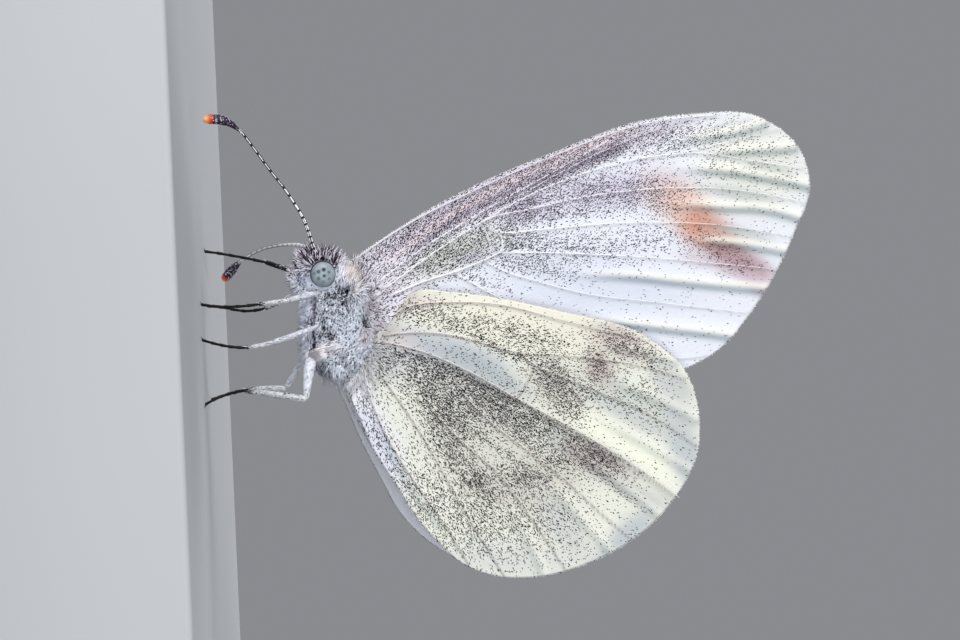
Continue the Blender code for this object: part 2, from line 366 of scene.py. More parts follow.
def ring_faces(rings, sides):
    """Quads between rings of points, and fans that close both ends round two last points."""
    number = np.arange(rings * sides).reshape(rings, sides)
    after = np.roll(number, -1, axis=1)
    quads = np.stack([number[:-1], after[:-1], after[1:], number[1:]], axis=-1).reshape(-1, 4)
    first, last = np.full(sides, rings * sides), np.full(sides, rings * sides + 1)
    caps = [np.stack([after[0], number[0], first], axis=1), np.stack([number[-1], after[-1], last], axis=1)]
    return quads, np.concatenate(caps)


def repeated(corners, pattern):
    """Many small shapes of one kind: corners holds each one's points, pattern its triangles."""
    base = corners.shape[1] * np.arange(len(corners))
    return corners.reshape(-1, 3), (base[:, None, None] + np.array(pattern)[None]).reshape(-1, 3)


def new_mesh(name, vertices, faces, material, uv=None, smooth=True):
    """A piece from arrays in millimetres, set where the model stands."""
    mesh = fill_mesh(name, (np.asarray(vertices) + STANCE) * MM, faces)
    if uv is not None:
        corners = np.empty(len(mesh.loops), np.int32)
        mesh.loops.foreach_get("vertex_index", corners)
        layer = mesh.uv_layers.new(name="OFBake")
        layer.data.foreach_set("uv", uv[corners].astype(np.float32).ravel())
    mesh.materials.append(material)
    if smooth:
        mesh.shade_smooth()
    piece = bpy.data.objects.new(name, mesh)
    bpy.context.scene.collection.objects.link(piece)
    return piece


def add_value(piece, name, values):
    layer = piece.data.attributes.new(name, "FLOAT", "POINT")
    layer.data.foreach_set("value", np.asarray(values, np.float32))


def add_colour(piece, values):
    layer = piece.data.attributes.new("ground", "FLOAT_COLOR", "POINT")
    rgba = np.concatenate([values[:, :3], np.ones((len(values), 1))], axis=1)
    layer.data.foreach_set("color", rgba.astype(np.float32).ravel())


def on_body(piece, slot, *nodes):
    """Rides a piece on the one body and hides the solids it stands for. Its slot is not used."""
    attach(piece, "root")
    if nodes:
        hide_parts(*nodes)


def add_coat(name, slot, shapes, paint, roots_uv, colours=None):
    """A piece made of many tufts, each with one colour and one small patch of the unwrap."""
    points, faces = shapes
    corners_each = len(points) // len(roots_uv)
    piece = new_mesh(name, points, faces, paint, tuft_patches(roots_uv, corners_each), smooth=False)
    if colours is not None:
        add_colour(piece, np.repeat(colours, corners_each, axis=0))
    on_body(piece, slot)


def tuft_patches(roots_uv, points_each):
    """Each tuft's unwrap: a patch a few thousandths across at the place of its root."""
    turn = np.linspace(0, 2 * math.pi, points_each, endpoint=False)
    ring = np.stack([np.cos(turn), np.sin(turn)], axis=1) * TUFT_PATCH / 2
    return (roots_uv[:, None] + ring[None]).reshape(-1, 2)


# ---------------------------------------------------------------- the four wings

MEMBRANE_THICKNESS = 0.05
CLEAR = 0.004                  # how far scales and hairs start above the membrane
SINK_WIDTH = 0.55              # how near the hinge the wings sink into the body
FRINGE = 0.10                  # how far the white scales stand out past the wings' edge
FRINGE_ROOT, FRINGE_SCALES = 0.09, 1500
ROOT_FLARE, ROOT_FLARE_REACH = 0.30, 2.0
CAMBER, CAMBER_CENTRE, CAMBER_REACH = 0.50, (-2.5, 15.0), 7.0
UNWRAP_LENGTH, UNWRAP_WIDTH, UNWRAP_SHIFT = 26.0, 36.0, (2.0, 6.0)

# All wing shapes are drawn flat as (along, across): the root is at the origin, the first axis runs
# out to the tip and "across" grows towards the tail.
FOREWING = {
    "root": (-3.71, 8.37), "lean": -18.25, "spacing": 0.34, "sink": 0.30, "rows": 200, "columns": 120,
    "rim": [(-0.18, -2.98), (1.54, -3.41), (4.91, -4.06), (11.26, -4.43), (15.39, -4.35), (17.78, -3.83),
            (20.91, -2.48), (22.15, -0.43), (21.99, 1.48), (20.54, 3.27), (16.87, 6.38), (15.20, 7.28),
            (13.09, 7.60)],
    "inner": dict.fromkeys((LEFT, RIGHT), [(-0.34, 0.49), (3.39, 2.69), (7.70, 4.99), (13.09, 7.60)]),
    # name: (points, radius at the base, radius at the margin)
    "veins": {
        "costa": ([(-0.1, -2.93), (2.68, -3.62), (7.0, -4.10), (11.2, -4.30), (15.3, -4.22), (18.9, -3.35)],
                  0.09, 0.04),
        "subcosta": ([(0.3, -1.4), (3.2, -2.3), (6.5, -2.95), (10.8, -3.6), (13.6, -4.05)], 0.05, 0.03),
        "radius": ([(0.2, -0.9), (2.4, -1.58), (4.7, -2.17), (6.4, -2.5), (7.8, -2.76), (11.8, -2.99),
                    (14.75, -2.68), (17.6, -1.91), (19.7, -0.74), (22.0, 0.54)], 0.06, 0.025),
        "radius_1": ([(8.7, -3.05), (12.0, -3.55), (15.2, -3.75), (17.7, -3.66)], 0.035, 0.02),
        "radius_3": ([(14.75, -2.68), (16.4, -2.72), (18.0, -2.93), (20.4, -2.62)], 0.035, 0.02),
        "radius_4": ([(16.7, -2.24), (18.5, -2.01), (20.5, -1.76), (21.6, -1.66)], 0.035, 0.02),
        "media_1": ([(6.54, -2.51), (6.93, -2.56), (8.4, -2.36), (12.3, -1.76), (14.2, -1.28), (17.9, 0.05),
                     (21.45, 2.1)], 0.05, 0.025),
        "media_2": ([(6.74, -2.06), (7.15, -1.76), (9.0, -1.18), (11.8, -0.4), (14.6, 0.56), (17.55, 1.85),
                     (20.3, 3.45)], 0.055, 0.025),
        "media_3": ([(6.79, -0.83), (8.6, -0.14), (11.3, 0.99), (14.4, 2.39), (16.66, 3.5), (18.9, 4.6)],
                    0.06, 0.025),
        "cell_end": ([(6.54, -2.51), (6.8, -2.0), (7.12, -1.5), (6.79, -0.83)], 0.03, 0.03),
        "cubitus": ([(1.1, -0.75), (2.64, -0.82), (4.68, -0.72), (5.72, -0.74), (6.79, -0.83)], 0.10, 0.06),
        "cubitus_1": ([(5.97, -0.7), (6.5, -0.08), (8.1, 1.2), (10.15, 2.62), (12.76, 3.97), (16.9, 6.1)],
                      0.05, 0.025),
        "cubitus_2": ([(4.4, -0.67), (5.64, 0.84), (7.48, 2.83), (9.82, 4.86), (13.14, 7.05), (14.3, 7.35)],
                      0.05, 0.025)},
    # (points, height, width of the slope above, width of the slope below), all in millimetres
    "pleats": [
        ([(15.5, -1.75), (16.86, -1.39), (18.51, -0.67), (20.09, 0.22), (22.1, 1.5)], 0.14, 0.36, 0.20),
        ([(14.6, -0.4), (16.24, 0.24), (17.89, 0.97), (19.38, 1.60), (21.2, 2.86)], 0.14, 0.36, 0.22),
        ([(15.0, 1.6), (16.08, 2.05), (17.84, 2.87), (19.9, 4.05)], 0.12, 0.34, 0.22),
        ([(8.6, 0.9), (10.51, 1.7), (12.74, 2.64), (14.02, 3.30), (16.53, 4.54), (18.3, 5.4)],
         0.13, 0.38, 0.20),
        ([(8.2, 3.1), (9.71, 3.8), (11.91, 4.82), (13.19, 5.50), (14.49, 6.15), (16.2, 7.1)],
         0.14, 0.42, 0.20),
        ([(16.5, -3.0), (18.2, -2.55), (20.9, -2.2)], 0.08, 0.30, 0.20),
        ([(17.2, -2.1), (19.0, -1.5), (21.9, -0.6)], 0.10, 0.30, 0.20)],
}
HINDWING = {
    "root": (-2.09, 7.66), "lean": 15.2, "spacing": 1.02, "sink": 0.75, "rows": 180, "columns": 130,
    "rim": [(0.35, -0.67), (0.85, -1.72), (1.22, -2.80), (1.95, -3.48), (3.53, -3.77), (8.94, -4.03),
            (13.23, -3.75), (15.37, -2.62), (16.89, 0.81), (15.47, 5.12), (12.59, 7.80), (10.35, 8.85),
            (8.43, 9.13), (6.87, 8.84)],
    "inner": {LEFT: [(-0.50, 1.60), (0.59, 3.08), (1.55, 4.38), (3.00, 5.85), (4.60, 7.40), (6.87, 8.84)],
              RIGHT: [(-1.15, 1.50), (-0.20, 2.72), (0.85, 4.18), (2.20, 5.77), (3.60, 7.30), (6.87, 8.84)]},
    "veins": {
        "subcosta": ([(0.8, -1.6), (1.57, -2.54), (2.24, -2.9), (3.63, -3.31), (6.0, -3.72), (9.0, -3.66),
                      (12.6, -3.62)], 0.07, 0.025),
        "radius": ([(0.9, -1.05), (3.49, -1.73), (5.23, -1.78), (7.0, -1.66), (9.4, -1.99), (11.87, -2.28),
                    (14.3, -2.33), (15.5, -2.2)], 0.05, 0.025),
        "media_1": ([(7.48, -1.69), (8.38, -1.24), (9.62, -1.03), (11.64, -0.68), (14.13, -0.2),
                     (16.8, 0.83)], 0.045, 0.025),
        "media_3": ([(0.35, -0.67), (2.68, -0.71), (5.27, -0.25), (7.93, 0.55), (10.11, 1.15), (13.26, 2.13),
                     (16.55, 3.5)], 0.048, 0.03),
        "cubitus_1": ([(5.3, 0.9), (7.36, 2.17), (9.01, 2.89), (11.24, 3.97), (12.9, 4.94), (14.85, 5.95)],
                      0.05, 0.025),
        "cubitus_2": ([(3.9, 1.9), (5.32, 2.9), (7.8, 4.3), (9.68, 5.87), (11.9, 8.0)], 0.045, 0.025),
        "anal_1": ([(1.06, 0.75), (3.58, 3.07), (6.22, 5.96), (9.1, 8.95)], 0.045, 0.025),
        "anal_2": ([(0.42, 1.19), (1.92, 3.45), (3.87, 5.49), (6.06, 7.48), (7.3, 8.8)], 0.04, 0.025),
        "cell_end": ([(8.38, -1.24), (8.3, -0.47), (7.93, 0.55)], 0.025, 0.025)},
    "pleats": [
        ([(0.4, -0.5), (3.78, -0.44), (6.87, 0.28), (10.12, 1.2), (13.27, 2.18), (16.6, 3.6)],
         0.17, 0.75, 0.26),
        ([(11.5, -1.45), (14.1, -1.04), (16.5, -0.43)], 0.06, 0.34, 0.22),
        ([(11.0, 0.3), (14.6, 1.33), (16.8, 2.09)], 0.05, 0.34, 0.22),
        ([(10.3, 2.05), (13.05, 3.17), (15.8, 4.5)], 0.06, 0.30, 0.20),
        ([(9.7, 3.9), (12.3, 5.57), (13.95, 6.8)], 0.07, 0.34, 0.22),
        ([(8.1, 5.5), (9.96, 7.1), (11.0, 8.5)], 0.06, 0.34, 0.22),
        ([(10.7, -2.77), (13.1, -3.06), (14.8, -2.93)], 0.05, 0.30, 0.20),
        ([(1.0, 2.0), (2.6, 4.3), (5.6, 7.2)], 0.08, 0.50, 0.30)],
}


class Wing:
    """One wing: where its flat drawing lies in space, with pleats and vein ridges in relief."""

    def __init__(self, kind, drawing, charts, side):
        self.side = side
        self.name = kind + ("_left" if side == LEFT else "_right")
        self.slot = kind + "_scales"
        self.drawing = drawing
        self.relief, self.dust, self.warmth, self.ground = charts
        lean = math.radians(drawing["lean"])
        self.ahead = (math.sin(lean), math.cos(lean))
        self.inner = drawing["inner"][side]
        self.rim = smooth_curve(drawing["rim"], drawing["rows"] + drawing["columns"])

    def grid(self):
        """Flat places spanned between the front, outer, inner and root edges."""
        rows, columns = self.drawing["rows"], self.drawing["columns"]
        front, tip = self.rim[:rows + 1], self.rim[rows:]
        back = smooth_curve(self.inner, rows)
        base = np.linspace(self.rim[0], self.inner[0], columns + 1)
        s = np.linspace(0, 1, rows + 1)[:, None, None]
        t = np.linspace(0, 1, columns + 1)[None, :, None]
        corners = ((1 - s) * ((1 - t) * front[0] + t * back[0])
                   + s * ((1 - t) * front[-1] + t * back[-1]))
        return (1 - t) * front[:, None] + t * back[:, None] + (1 - s) * base[None] + s * tip[None] - corners

    def edge(self):
        """The free edge, from the shoulder round to the inner corner and back to the root."""
        return np.concatenate([self.rim, smooth_curve(self.inner, 120)[::-1][1:]])

    def hinge(self):
        """Start and end of the straight line on which the wing is hinged, and the way out from it."""
        start, end = self.rim[0], np.array(self.inner[0])
        along = unit(end - start)
        return start, end, np.array((along[1], -along[0]))

    def place(self, flat, lift):
        """Points in space for flat places, lifted off the middle of the membrane away from the body."""
        x = self.drawing["root"][0] + self.ahead[0] * flat[:, 0] + self.ahead[1] * flat[:, 1]
        z = self.drawing["root"][1] + self.ahead[1] * flat[:, 0] - self.ahead[0] * flat[:, 1]
        reach = np.hypot(flat[:, 0], flat[:, 1])
        camber = np.exp(-((x - CAMBER_CENTRE[0])**2 + (z - CAMBER_CENTRE[1])**2) / (2 * CAMBER_REACH**2))
        start, _, out = self.hinge()
        sunk = self.drawing["sink"] * bell((flat - start) @ out, SINK_WIDTH)
        y = self.drawing["spacing"] + ROOT_FLARE * np.exp(-reach / ROOT_FLARE_REACH) + CAMBER * camber
        return np.stack([x, self.side * (y - sunk + lift), z], axis=1)

    def heading(self, flat_heading):
        """A direction in the flat drawing, turned into space."""
        along, across = flat_heading.T
        x = self.ahead[0] * along + self.ahead[1] * across
        z = self.ahead[1] * along - self.ahead[0] * across
        return np.stack([x, np.zeros(len(x)), z], axis=1)

    def outward(self, flat):
        """Places on the membrane's middle and the way out from the body there, from its slope."""
        here, out, down = (self.place(flat + step, self.relief(flat + step))
                           for step in ((0, 0), (Chart.STEP, 0), (0, Chart.STEP)))
        normal = unit(np.cross(out - here, down - here))
        return here, normal * np.sign(normal[:, 1] * self.side)[:, None]

    def unwrap(self, flat, inner_face=False):
        """Place on the unwrap: the outer face fills the lower half and the inner face the upper one."""
        u = (flat[:, 0] + UNWRAP_SHIFT[0]) / UNWRAP_LENGTH
        v = (flat[:, 1] + UNWRAP_SHIFT[1]) / UNWRAP_WIDTH + (0.5 if inner_face else 0.0)
        return np.stack([u, v], axis=1)


# Where dark scales lie on each underside: soft ovals (along, across, half length, half width, turn,
# strength), then ovals that stay clean with how clean they stay, then ovals of warmer, browner scales.
WING_TONE = 0.735              # how light the wings' ground is beside the white coat
FOREWING["dust"] = [
    (8.6, -3.1, 4.6, 0.5, -5, 0.90), (9.9, -4.0, 6.3, 0.8, -2, 0.82),
    (10.2, -3.4, 2.9, 0.35, -3, 0.70), (2.9, -3.2, 2.6, 0.9, -14, 0.66),
    (4.5, -1.8, 2.4, 1.0, -1, 0.80), (8.8, -2.3, 1.5, 0.8, 6, 0.84), (12.5, -1.7, 2.9, 0.9, 16, 0.62),
    (7.9, -1.0, 1.1, 0.4, 21, 0.85), (10.3, 0.3, 3.0, 0.7, 24, 0.50), (7.7, 0.2, 2.2, 0.5, 33, 0.56),
    (5.2, -0.1, 1.5, 0.4, 41, 0.30), (16.4, -3.0, 2.6, 0.7, 13, 0.55), (14.8, -0.7, 1.5, 0.8, 41, 0.34),
    (14.6, 1.3, 2.6, 0.6, 24, 0.30), (16.9, 3.4, 1.3, 0.5, 41, 0.32), (19.3, -1.0, 2.9, 1.5, 36, 0.12),
    (0.9, -1.0, 1.8, 2.0, -24, 0.28), (11.9, -3.4, 1.5, 0.4, -3, 0.40)]
FOREWING["clean"] = [(13.5, 4.6, 4.6, 1.5, 27, 0.9), (9.0, 3.4, 3.0, 1.2, 30, 0.7)]
# Dark scales gathered in lines: (points, half width, strength), or kept off them where it is negative
FOREWING["streaks"] = [
    ([(2.1, -2.1), (3.1, -2.35), (4.2, -2.8), (5.4, -3.1), (6.9, -3.3), (9.0, -3.3), (11.1, -3.35),
      (13.2, -3.5), (15.1, -3.5)], 0.24, 0.75),
    ([(9.6, -3.55), (11.2, -3.5), (12.2, -3.5), (13.3, -3.6), (14.2, -3.5)], 0.26, 0.85),
    ([(0.6, -2.2), (2.7, -2.65), (4.1, -3.1), (6.5, -3.6), (8.5, -3.9), (10.3, -4.0), (12.4, -4.1),
      (14.2, -4.15)], 0.15, -0.70),
    ([(7.35, -1.9), (7.4, -1.2), (7.3, -0.6)], 0.30, 0.80),
    ([(7.2, -2.1), (9.4, -1.75), (11.8, -0.95)], 0.20, 0.55)]
FOREWING["warm"] = [
    (8.6, -3.5, 7.5, 1.3, -4, 0.60), (8.8, -2.3, 1.8, 1.0, 6, 0.5), (16.5, 1.5, 2.6, 1.6, 56, 0.8),
    (16.4, -3.0, 3.0, 1.0, 13, 0.5)]
HINDWING["dust"] = [
    (6.5, 0.9, 3.4, 1.1, 17, 0.78), (4.1, 1.5, 2.1, 1.1, 32, 0.72), (4.9, 3.6, 1.4, 0.7, 38, 0.56),
    (6.6, 4.7, 1.3, 0.5, 30, 0.90), (9.0, 4.2, 1.4, 0.5, 3, 0.74), (12.2, 2.4, 1.5, 0.6, 13, 0.80),
    (4.9, 2.5, 1.4, 0.7, 47, 0.72), (7.9, 1.6, 1.9, 0.6, 17, 0.82), (10.2, 2.9, 1.6, 0.6, 10, 0.55),
    (9.0, 6.2, 3.2, 1.6, -6, 0.36), (12.1, -3.2, 1.2, 0.5, 9, 0.76), (11.3, -1.9, 0.8, 0.55, 50, 0.74),
    (13.8, -2.8, 0.9, 0.4, 12, 0.50), (9.4, -0.7, 1.3, 0.75, 30, 0.84), (10.2, 0.1, 1.2, 0.6, 22, 0.68),
    (11.6, -0.5, 1.5, 0.4, 10, 0.36), (4.4, -2.5, 3.4, 0.5, -5, 0.48), (7.9, -2.3, 2.4, 0.7, 2, 0.42),
    (1.8, -2.6, 1.6, 0.4, -18, 0.42), (6.6, -1.6, 3.0, 0.25, 11, 0.62), (0.9, 0.2, 0.8, 0.8, -13, 0.55),
    (4.4, 6.1, 2.0, 1.2, 47, 0.46), (1.7, 3.6, 2.8, 0.6, 49, 0.34), (-0.3, 1.5, 0.8, 0.8, 40, 0.22),
    (13.7, -0.9, 1.7, 1.0, 47, 0.24), (7.0, 6.7, 1.8, 1.3, 40, 0.40), (10.3, 0.8, 0.9, 0.5, 10, 0.50)]
HINDWING["clean"] = [
    (3.9, -0.72, 2.9, 0.60, 12, 0.82), (13.8, 1.5, 2.6, 0.6, 17, 0.93),
    (5.9, 3.6, 0.7, 0.34, 47, 0.66), (3.7, 3.4, 1.2, 0.5, 47, 0.35), (0.8, 0.9, 0.8, 0.5, 30, 0.50),
    (8.3, 3.0, 1.0, 0.36, 37, 0.62), (10.4, 2.2, 0.9, 0.45, 12, 0.50), (2.6, 3.7, 1.6, 0.35, 55, 0.45)]
HINDWING["streaks"] = [
    ([(3.0, 1.0), (4.6, 2.3), (5.9, 3.8), (7.6, 4.9)], 0.22, 0.45),
    ([(4.8, 1.6), (6.6, 2.75), (8.6, 3.55), (10.4, 4.2)], 0.16, 0.60),
    ([(11.9, 3.0), (13.6, 3.8), (15.2, 4.6)], 0.12, 0.14)]
HINDWING["warm"] = [
    (12.4, 2.5, 2.2, 0.9, 17, 0.85), (12.2, -3.2, 1.6, 1.0, 12, 0.75), (11.4, -1.8, 1.1, 0.9, 77, 0.75),
    (7.8, 4.4, 2.8, 0.8, 8, 0.60), (1.6, -2.7, 1.8, 0.7, -18, 0.85), (4.4, -2.5, 3.4, 0.8, -5, 0.50),
    (9.6, -0.2, 1.6, 0.9, 10, 0.35), (10.0, 4.0, 2.0, 0.8, 5, 0.45)]

# Ground colours: (colour, strength, ovals)
FOREWING["ground"] = tint(238, 241, 249)
FOREWING["tints"] = [
    (tint(234, 235, 222), 0.85, [(19.9, -0.4, 3.0, 2.6, 31)]),
    (tint(208, 195, 212), 0.85, [(7.2, -3.6, 6.4, 0.9, -5), (12.4, -3.9, 5.0, 0.6, 4)]),
    (tint(228, 216, 232), 0.60, [(1.0, -1.4, 2.2, 2.0, -24)]),
    (tint(206, 196, 220), 0.72, [(8.8, -2.3, 1.8, 0.8, 6), (12.5, -1.8, 3.0, 0.9, 14)]),
    (tint(208, 211, 200), 0.85, [(4.9, -1.5, 2.6, 0.8, -3)]),
    (tint(219, 224, 238), 0.75, [(10.5, 2.2, 5.3, 1.7, 28)]),
    (tint(196, 196, 208), 0.70, [(5.7, -1.0, 1.3, 0.35, 5)]),
    (tint(222, 200, 204), 0.75, [(15.2, -0.8, 1.4, 1.1, 50), (15.8, 1.6, 0.9, 0.5, 40)]),
    (tint(230, 190, 172), 0.85, [(16.1, 0.4, 1.6, 1.1, 56)]),
    (tint(212, 142, 110), 0.90, [(16.5, 1.60, 1.3, 0.92, 52)]),
    (tint(204, 152, 138), 0.82, [(17.0, 2.5, 1.1, 0.9, 56)]),
    # painted shade: greenish grey streaks under the crests of the pleats near the tip
    (tint(168, 178, 170), 0.60, [(18.2, 2.55, 1.7, 0.34, 35), (18.7, 0.70, 2.0, 0.36, 31),
                                 (20.5, 0.1, 1.4, 0.3, 35)]),
    (tint(168, 124, 126), 0.80, [(17.3, 3.4, 1.5, 0.78, 48)]),
    (tint(176, 138, 146), 0.76, [(18.0, 4.3, 1.2, 0.7, 46)]),
    (tint(206, 188, 198), 0.60, [(18.0, 5.2, 0.8, 0.5, 70), (15.9, 3.0, 1.2, 0.45, 31),
                                 (17.2, 4.2, 1.3, 0.35, 36)])]
# Ground colour along lines: (colour, strength, points, half width)
FOREWING["bands"] = [
    (tint(138, 122, 152), 0.70, [(9.0, -3.35), (11.1, -3.42), (12.8, -3.5), (14.4, -3.5)], 0.26),
    (tint(160, 148, 170), 0.50, [(2.1, -2.1), (3.1, -2.35), (4.2, -2.8), (5.4, -3.1), (6.9, -3.3),
                                 (9.0, -3.35)], 0.20),
    (tint(240, 220, 226), 0.75, [(0.6, -2.2), (2.7, -2.65), (4.1, -3.1), (6.5, -3.6), (8.5, -3.9),
                                 (10.3, -4.0), (12.4, -4.1), (14.2, -4.15), (15.8, -4.05)], 0.16)]
HINDWING["ground"] = tint(242, 243, 227)
HINDWING["tints"] = [
    (tint(244, 239, 218), 0.70, [(8.1, -3.2, 6.3, 1.5, -5)]),
    (tint(176, 184, 198), 0.85, [(2.6, -0.8, 2.4, 0.9, 8)]),
    (tint(192, 199, 204), 0.80, [(5.2, -1.15, 2.2, 0.5, 8)]),
    (tint(164, 175, 180), 0.92, [(5.8, -0.4, 2.9, 0.7, 14)]),
    (tint(206, 202, 190), 0.85, [(9.6, -0.4, 1.8, 1.1, 30)]),
    (tint(204, 211, 200), 0.85, [(13.2, -0.4, 3.0, 1.1, 14), (10.2, 2.1, 1.0, 0.5, 12)]),
    # pale cream along the crest of a fold, made brighter as a painted highlight
    (tint(250, 251, 230), 0.90, [(13.4, 1.45, 3.2, 0.60, 19)]),
    # painted shade: grey laid in a furrow near the outer margin, and the same grey further forward
    (tint(190, 192, 188), 0.75, [(14.3, 3.7, 1.9, 0.45, 15), (15.0, -1.9, 1.3, 0.5, 20)]),
    (tint(160, 144, 143), 0.82, [(12.0, 2.6, 1.9, 0.75, 12)]),
    (tint(206, 200, 188), 0.70, [(10.3, 3.7, 1.6, 0.7, 7), (8.6, 5.0, 3.0, 0.8, 2)]),
    (tint(232, 235, 250), 0.90, [(1.2, 3.6, 3.4, 1.0, 47)]),
    (tint(250, 250, 255), 0.95, [(-0.2, 1.8, 1.3, 1.0, 40)]),
    (tint(214, 213, 200), 0.70, [(7.2, 3.3, 4.6, 2.4, 30)]),
    (tint(184, 192, 197), 0.80, [(16.4, 1.4, 2.4, 0.8, 60), (14.4, 6.2, 2.4, 0.8, 120)]),
    (tint(196, 182, 175), 0.82, [(12.2, -3.2, 1.7, 0.8, 12), (11.4, -1.8, 1.0, 0.8, 50)]),
    (tint(206, 209, 206), 0.70, [(15.2, -1.2, 2.0, 0.8, 60), (13.6, 0.2, 2.2, 0.4, 14),
                                 (11.5, 6.2, 1.8, 0.8, 40)]),
    (tint(216, 204, 194), 0.55, [(1.9, -2.9, 1.8, 0.5, -18), (1.4, -1.0, 1.3, 0.6, -3)]),
    (tint(216, 219, 214), 0.70, [(9.2, 8.2, 3.6, 0.9, -8)]),
    (tint(206, 204, 200), 0.60, [(5.1, 0.8, 3.9, 1.0, 15)]),
    (tint(214, 214, 210), 0.80, [(1.0, 0.2, 1.6, 1.0, 17)])]
HINDWING["bands"] = []

# How much of each relief's shading is laid into the colour: the pleats' crests and furrows, the line
# of shade below each vein, and how clear of dark scales the veins are
FOREWING["shading"] = {"crest": 0.75, "furrow": 1.0, "vein": 0.28, "clear": 0.75}
HINDWING["shading"] = {"crest": 0.45, "furrow": 0.5, "vein": 0.60, "clear": 0.30}
CREST_COLOUR, FURROW_DEPTH = tint(253, 252, 238), (0.42, 0.36, 0.36, 0.0)


def wing_charts(drawing):
    """Relief, share of dark scales, their warmth and the ground colour over one kind of wing."""
    shading = drawing["shading"]
    lines = {}

    def field(line):
        key = id(line)
        if key not in lines:
            lines[key] = Chart(lambda flat: np.stack(line_field(flat, line), axis=1))
        return lines[key].values.reshape(-1, 2).T

    def relief(flat):
        height = 0.015 * ripple(flat, 3.0, 5)
        for line, rise, above, below in drawing["pleats"]:
            signed, along = field(line)
            height += rise * smooth_step(along, 0.0, 0.35) * bell(signed, np.where(signed < 0, above, below))
        for line, base, end in drawing["veins"].values():
            signed, along = field(line)
            height += 0.6 * (base + (end - base) * along) * bell(signed, 0.14)
        return height

    def dust(flat):
        amount = np.zeros(len(flat))
        for spot in drawing["dust"]:
            amount = amount + (1 - amount) * spot[5] * zone(flat, spot)
        for spot in drawing["clean"]:
            amount *= 1 - spot[5] * zone(flat, spot)
        for line, half_width, strength in drawing["streaks"]:
            signed, along = field(line)
            gathered = strength * bell(signed, half_width) * smooth_step(along * (1 - along), 0.0, 0.08)
            amount = amount + (1 - amount) * gathered
        if drawing is HINDWING:
            amount = under_main_pleat(amount, *field(drawing["pleats"][0][0]))
        amount *= np.clip(1 + 0.35 * ripple(flat, 1.6, 11) + 0.35 * ripple(flat, 0.45, 12, 2), 0.25, 1.8)
        for line, base, _ in drawing["veins"].values():
            signed, _ = field(line)
            amount *= 1 - shading["clear"] * bell(signed, 0.03 + 0.5 * base)
        return np.clip(amount + 0.02, 0, 0.97)

    def warmth(flat):
        share = np.zeros(len(flat))
        for spot in drawing["warm"]:
            share = np.maximum(share, spot[5] * zone(flat, spot))
        return share

    def ground(flat):
        colour = in_zones(drawing["ground"], drawing["tints"], zone, flat, 0.0, 0.9)
        for hue, strength, line, half_width in drawing["bands"]:
            signed, along = field(line)
            cover = strength * bell(signed, half_width) * smooth_step(along * (1 - along), 0.0, 0.12)
            colour = blended(colour, hue, cover)
        # the hindwing's first pleat is its broad fold, which its dark scales shade
        for line, *_ in drawing["pleats"][1 if drawing is HINDWING else 0:]:
            signed, along = field(line)
            run = smooth_step(along, 0.05, 0.45)
            colour = blended(colour, CREST_COLOUR, shading["crest"] * run * bell(signed + 0.10, 0.16))
            furrow = shading["furrow"] * run * bell(signed - 0.24, 0.18)
            colour = colour * (1 - furrow[:, None] * FURROW_DEPTH)
        for line, *_ in drawing["veins"].values():
            signed, _ = field(line)
            colour = colour * (1 - shading["vein"] * bell(signed - 0.085, 0.05))[:, None]
        return colour[:, :3] * WING_TONE

    return [Chart(work) for work in (relief, dust, warmth, ground)]


def in_zones(ground, tints, spread, places, low, high):
    """A ground colour with tints laid over it in soft ovals, one tint after the other."""
    colour = np.tile(ground, (len(places), 1))
    for hue, strength, ovals in tints:
        cover = np.zeros(len(places))
        for oval in ovals:
            cover = np.maximum(cover, spread(places, oval))
        colour = blended(colour, hue, strength * smooth_step(cover, low, high))
    return colour


def under_main_pleat(amount, signed, along):
    """Dark scales crowd below the hindwing's broad fold and keep off its crest."""
    below = smooth_step(signed, -0.05, 0.10)
    wedge = below * bell(signed, 0.75) * smooth_step(along, 0.0, 0.10) * (1 - smooth_step(along, 0.50, 0.90))
    amount = amount + (1 - amount) * 0.76 * wedge
    return amount * (0.90 - 0.68 * (1 - below) * bell(signed, 0.4) * smooth_step(along, 0.0, 0.1))


def inner_colour(wing, flat):
    """Upper side: plain milky white, greyer near the root and at the forewing's tip."""
    grey = 0.5 * np.exp(-np.hypot(flat[:, 0], flat[:, 1]) / 2.5)
    if wing.drawing is FOREWING:
        grey = np.maximum(grey, 0.75 * zone(flat, (20.6, -0.6, 2.6, 2.4, 30)))
    return blended(np.array(tint(206, 207, 212)), tint(120, 120, 124), grey)[:, :3]


def membrane_paint():
    paint = Paint("wing_membrane", roughness=0.62, Specular_IOR_Level=0.35, Sheen_Weight=0.12,
                  Sheen_Roughness=0.4)
    rows = paint.flat_place(along=UNWRAP_LENGTH * 0.55, across=UNWRAP_WIDTH)
    scales = paint.cells(rows, 11.0)
    grain = paint.noise(rows, 7.0, 3.0)
    shaded = paint.mix(grain.between(0.25, 0.75) * 0.14, paint.own_colour(), tint(176, 176, 188))
    speck = (1 - paint.cells(rows, 10.0).between(0.16, 0.36)) * paint.attribute("dust")
    hazed = paint.mix(paint.attribute("dust") * 0.05, shaded, tint(150, 143, 138))
    paint.colour(paint.mix(speck * 0.55, hazed, tint(96, 88, 96)))
    return paint.bump(scales * 0.6 + grain * 0.8, 0.012, 0.7).material


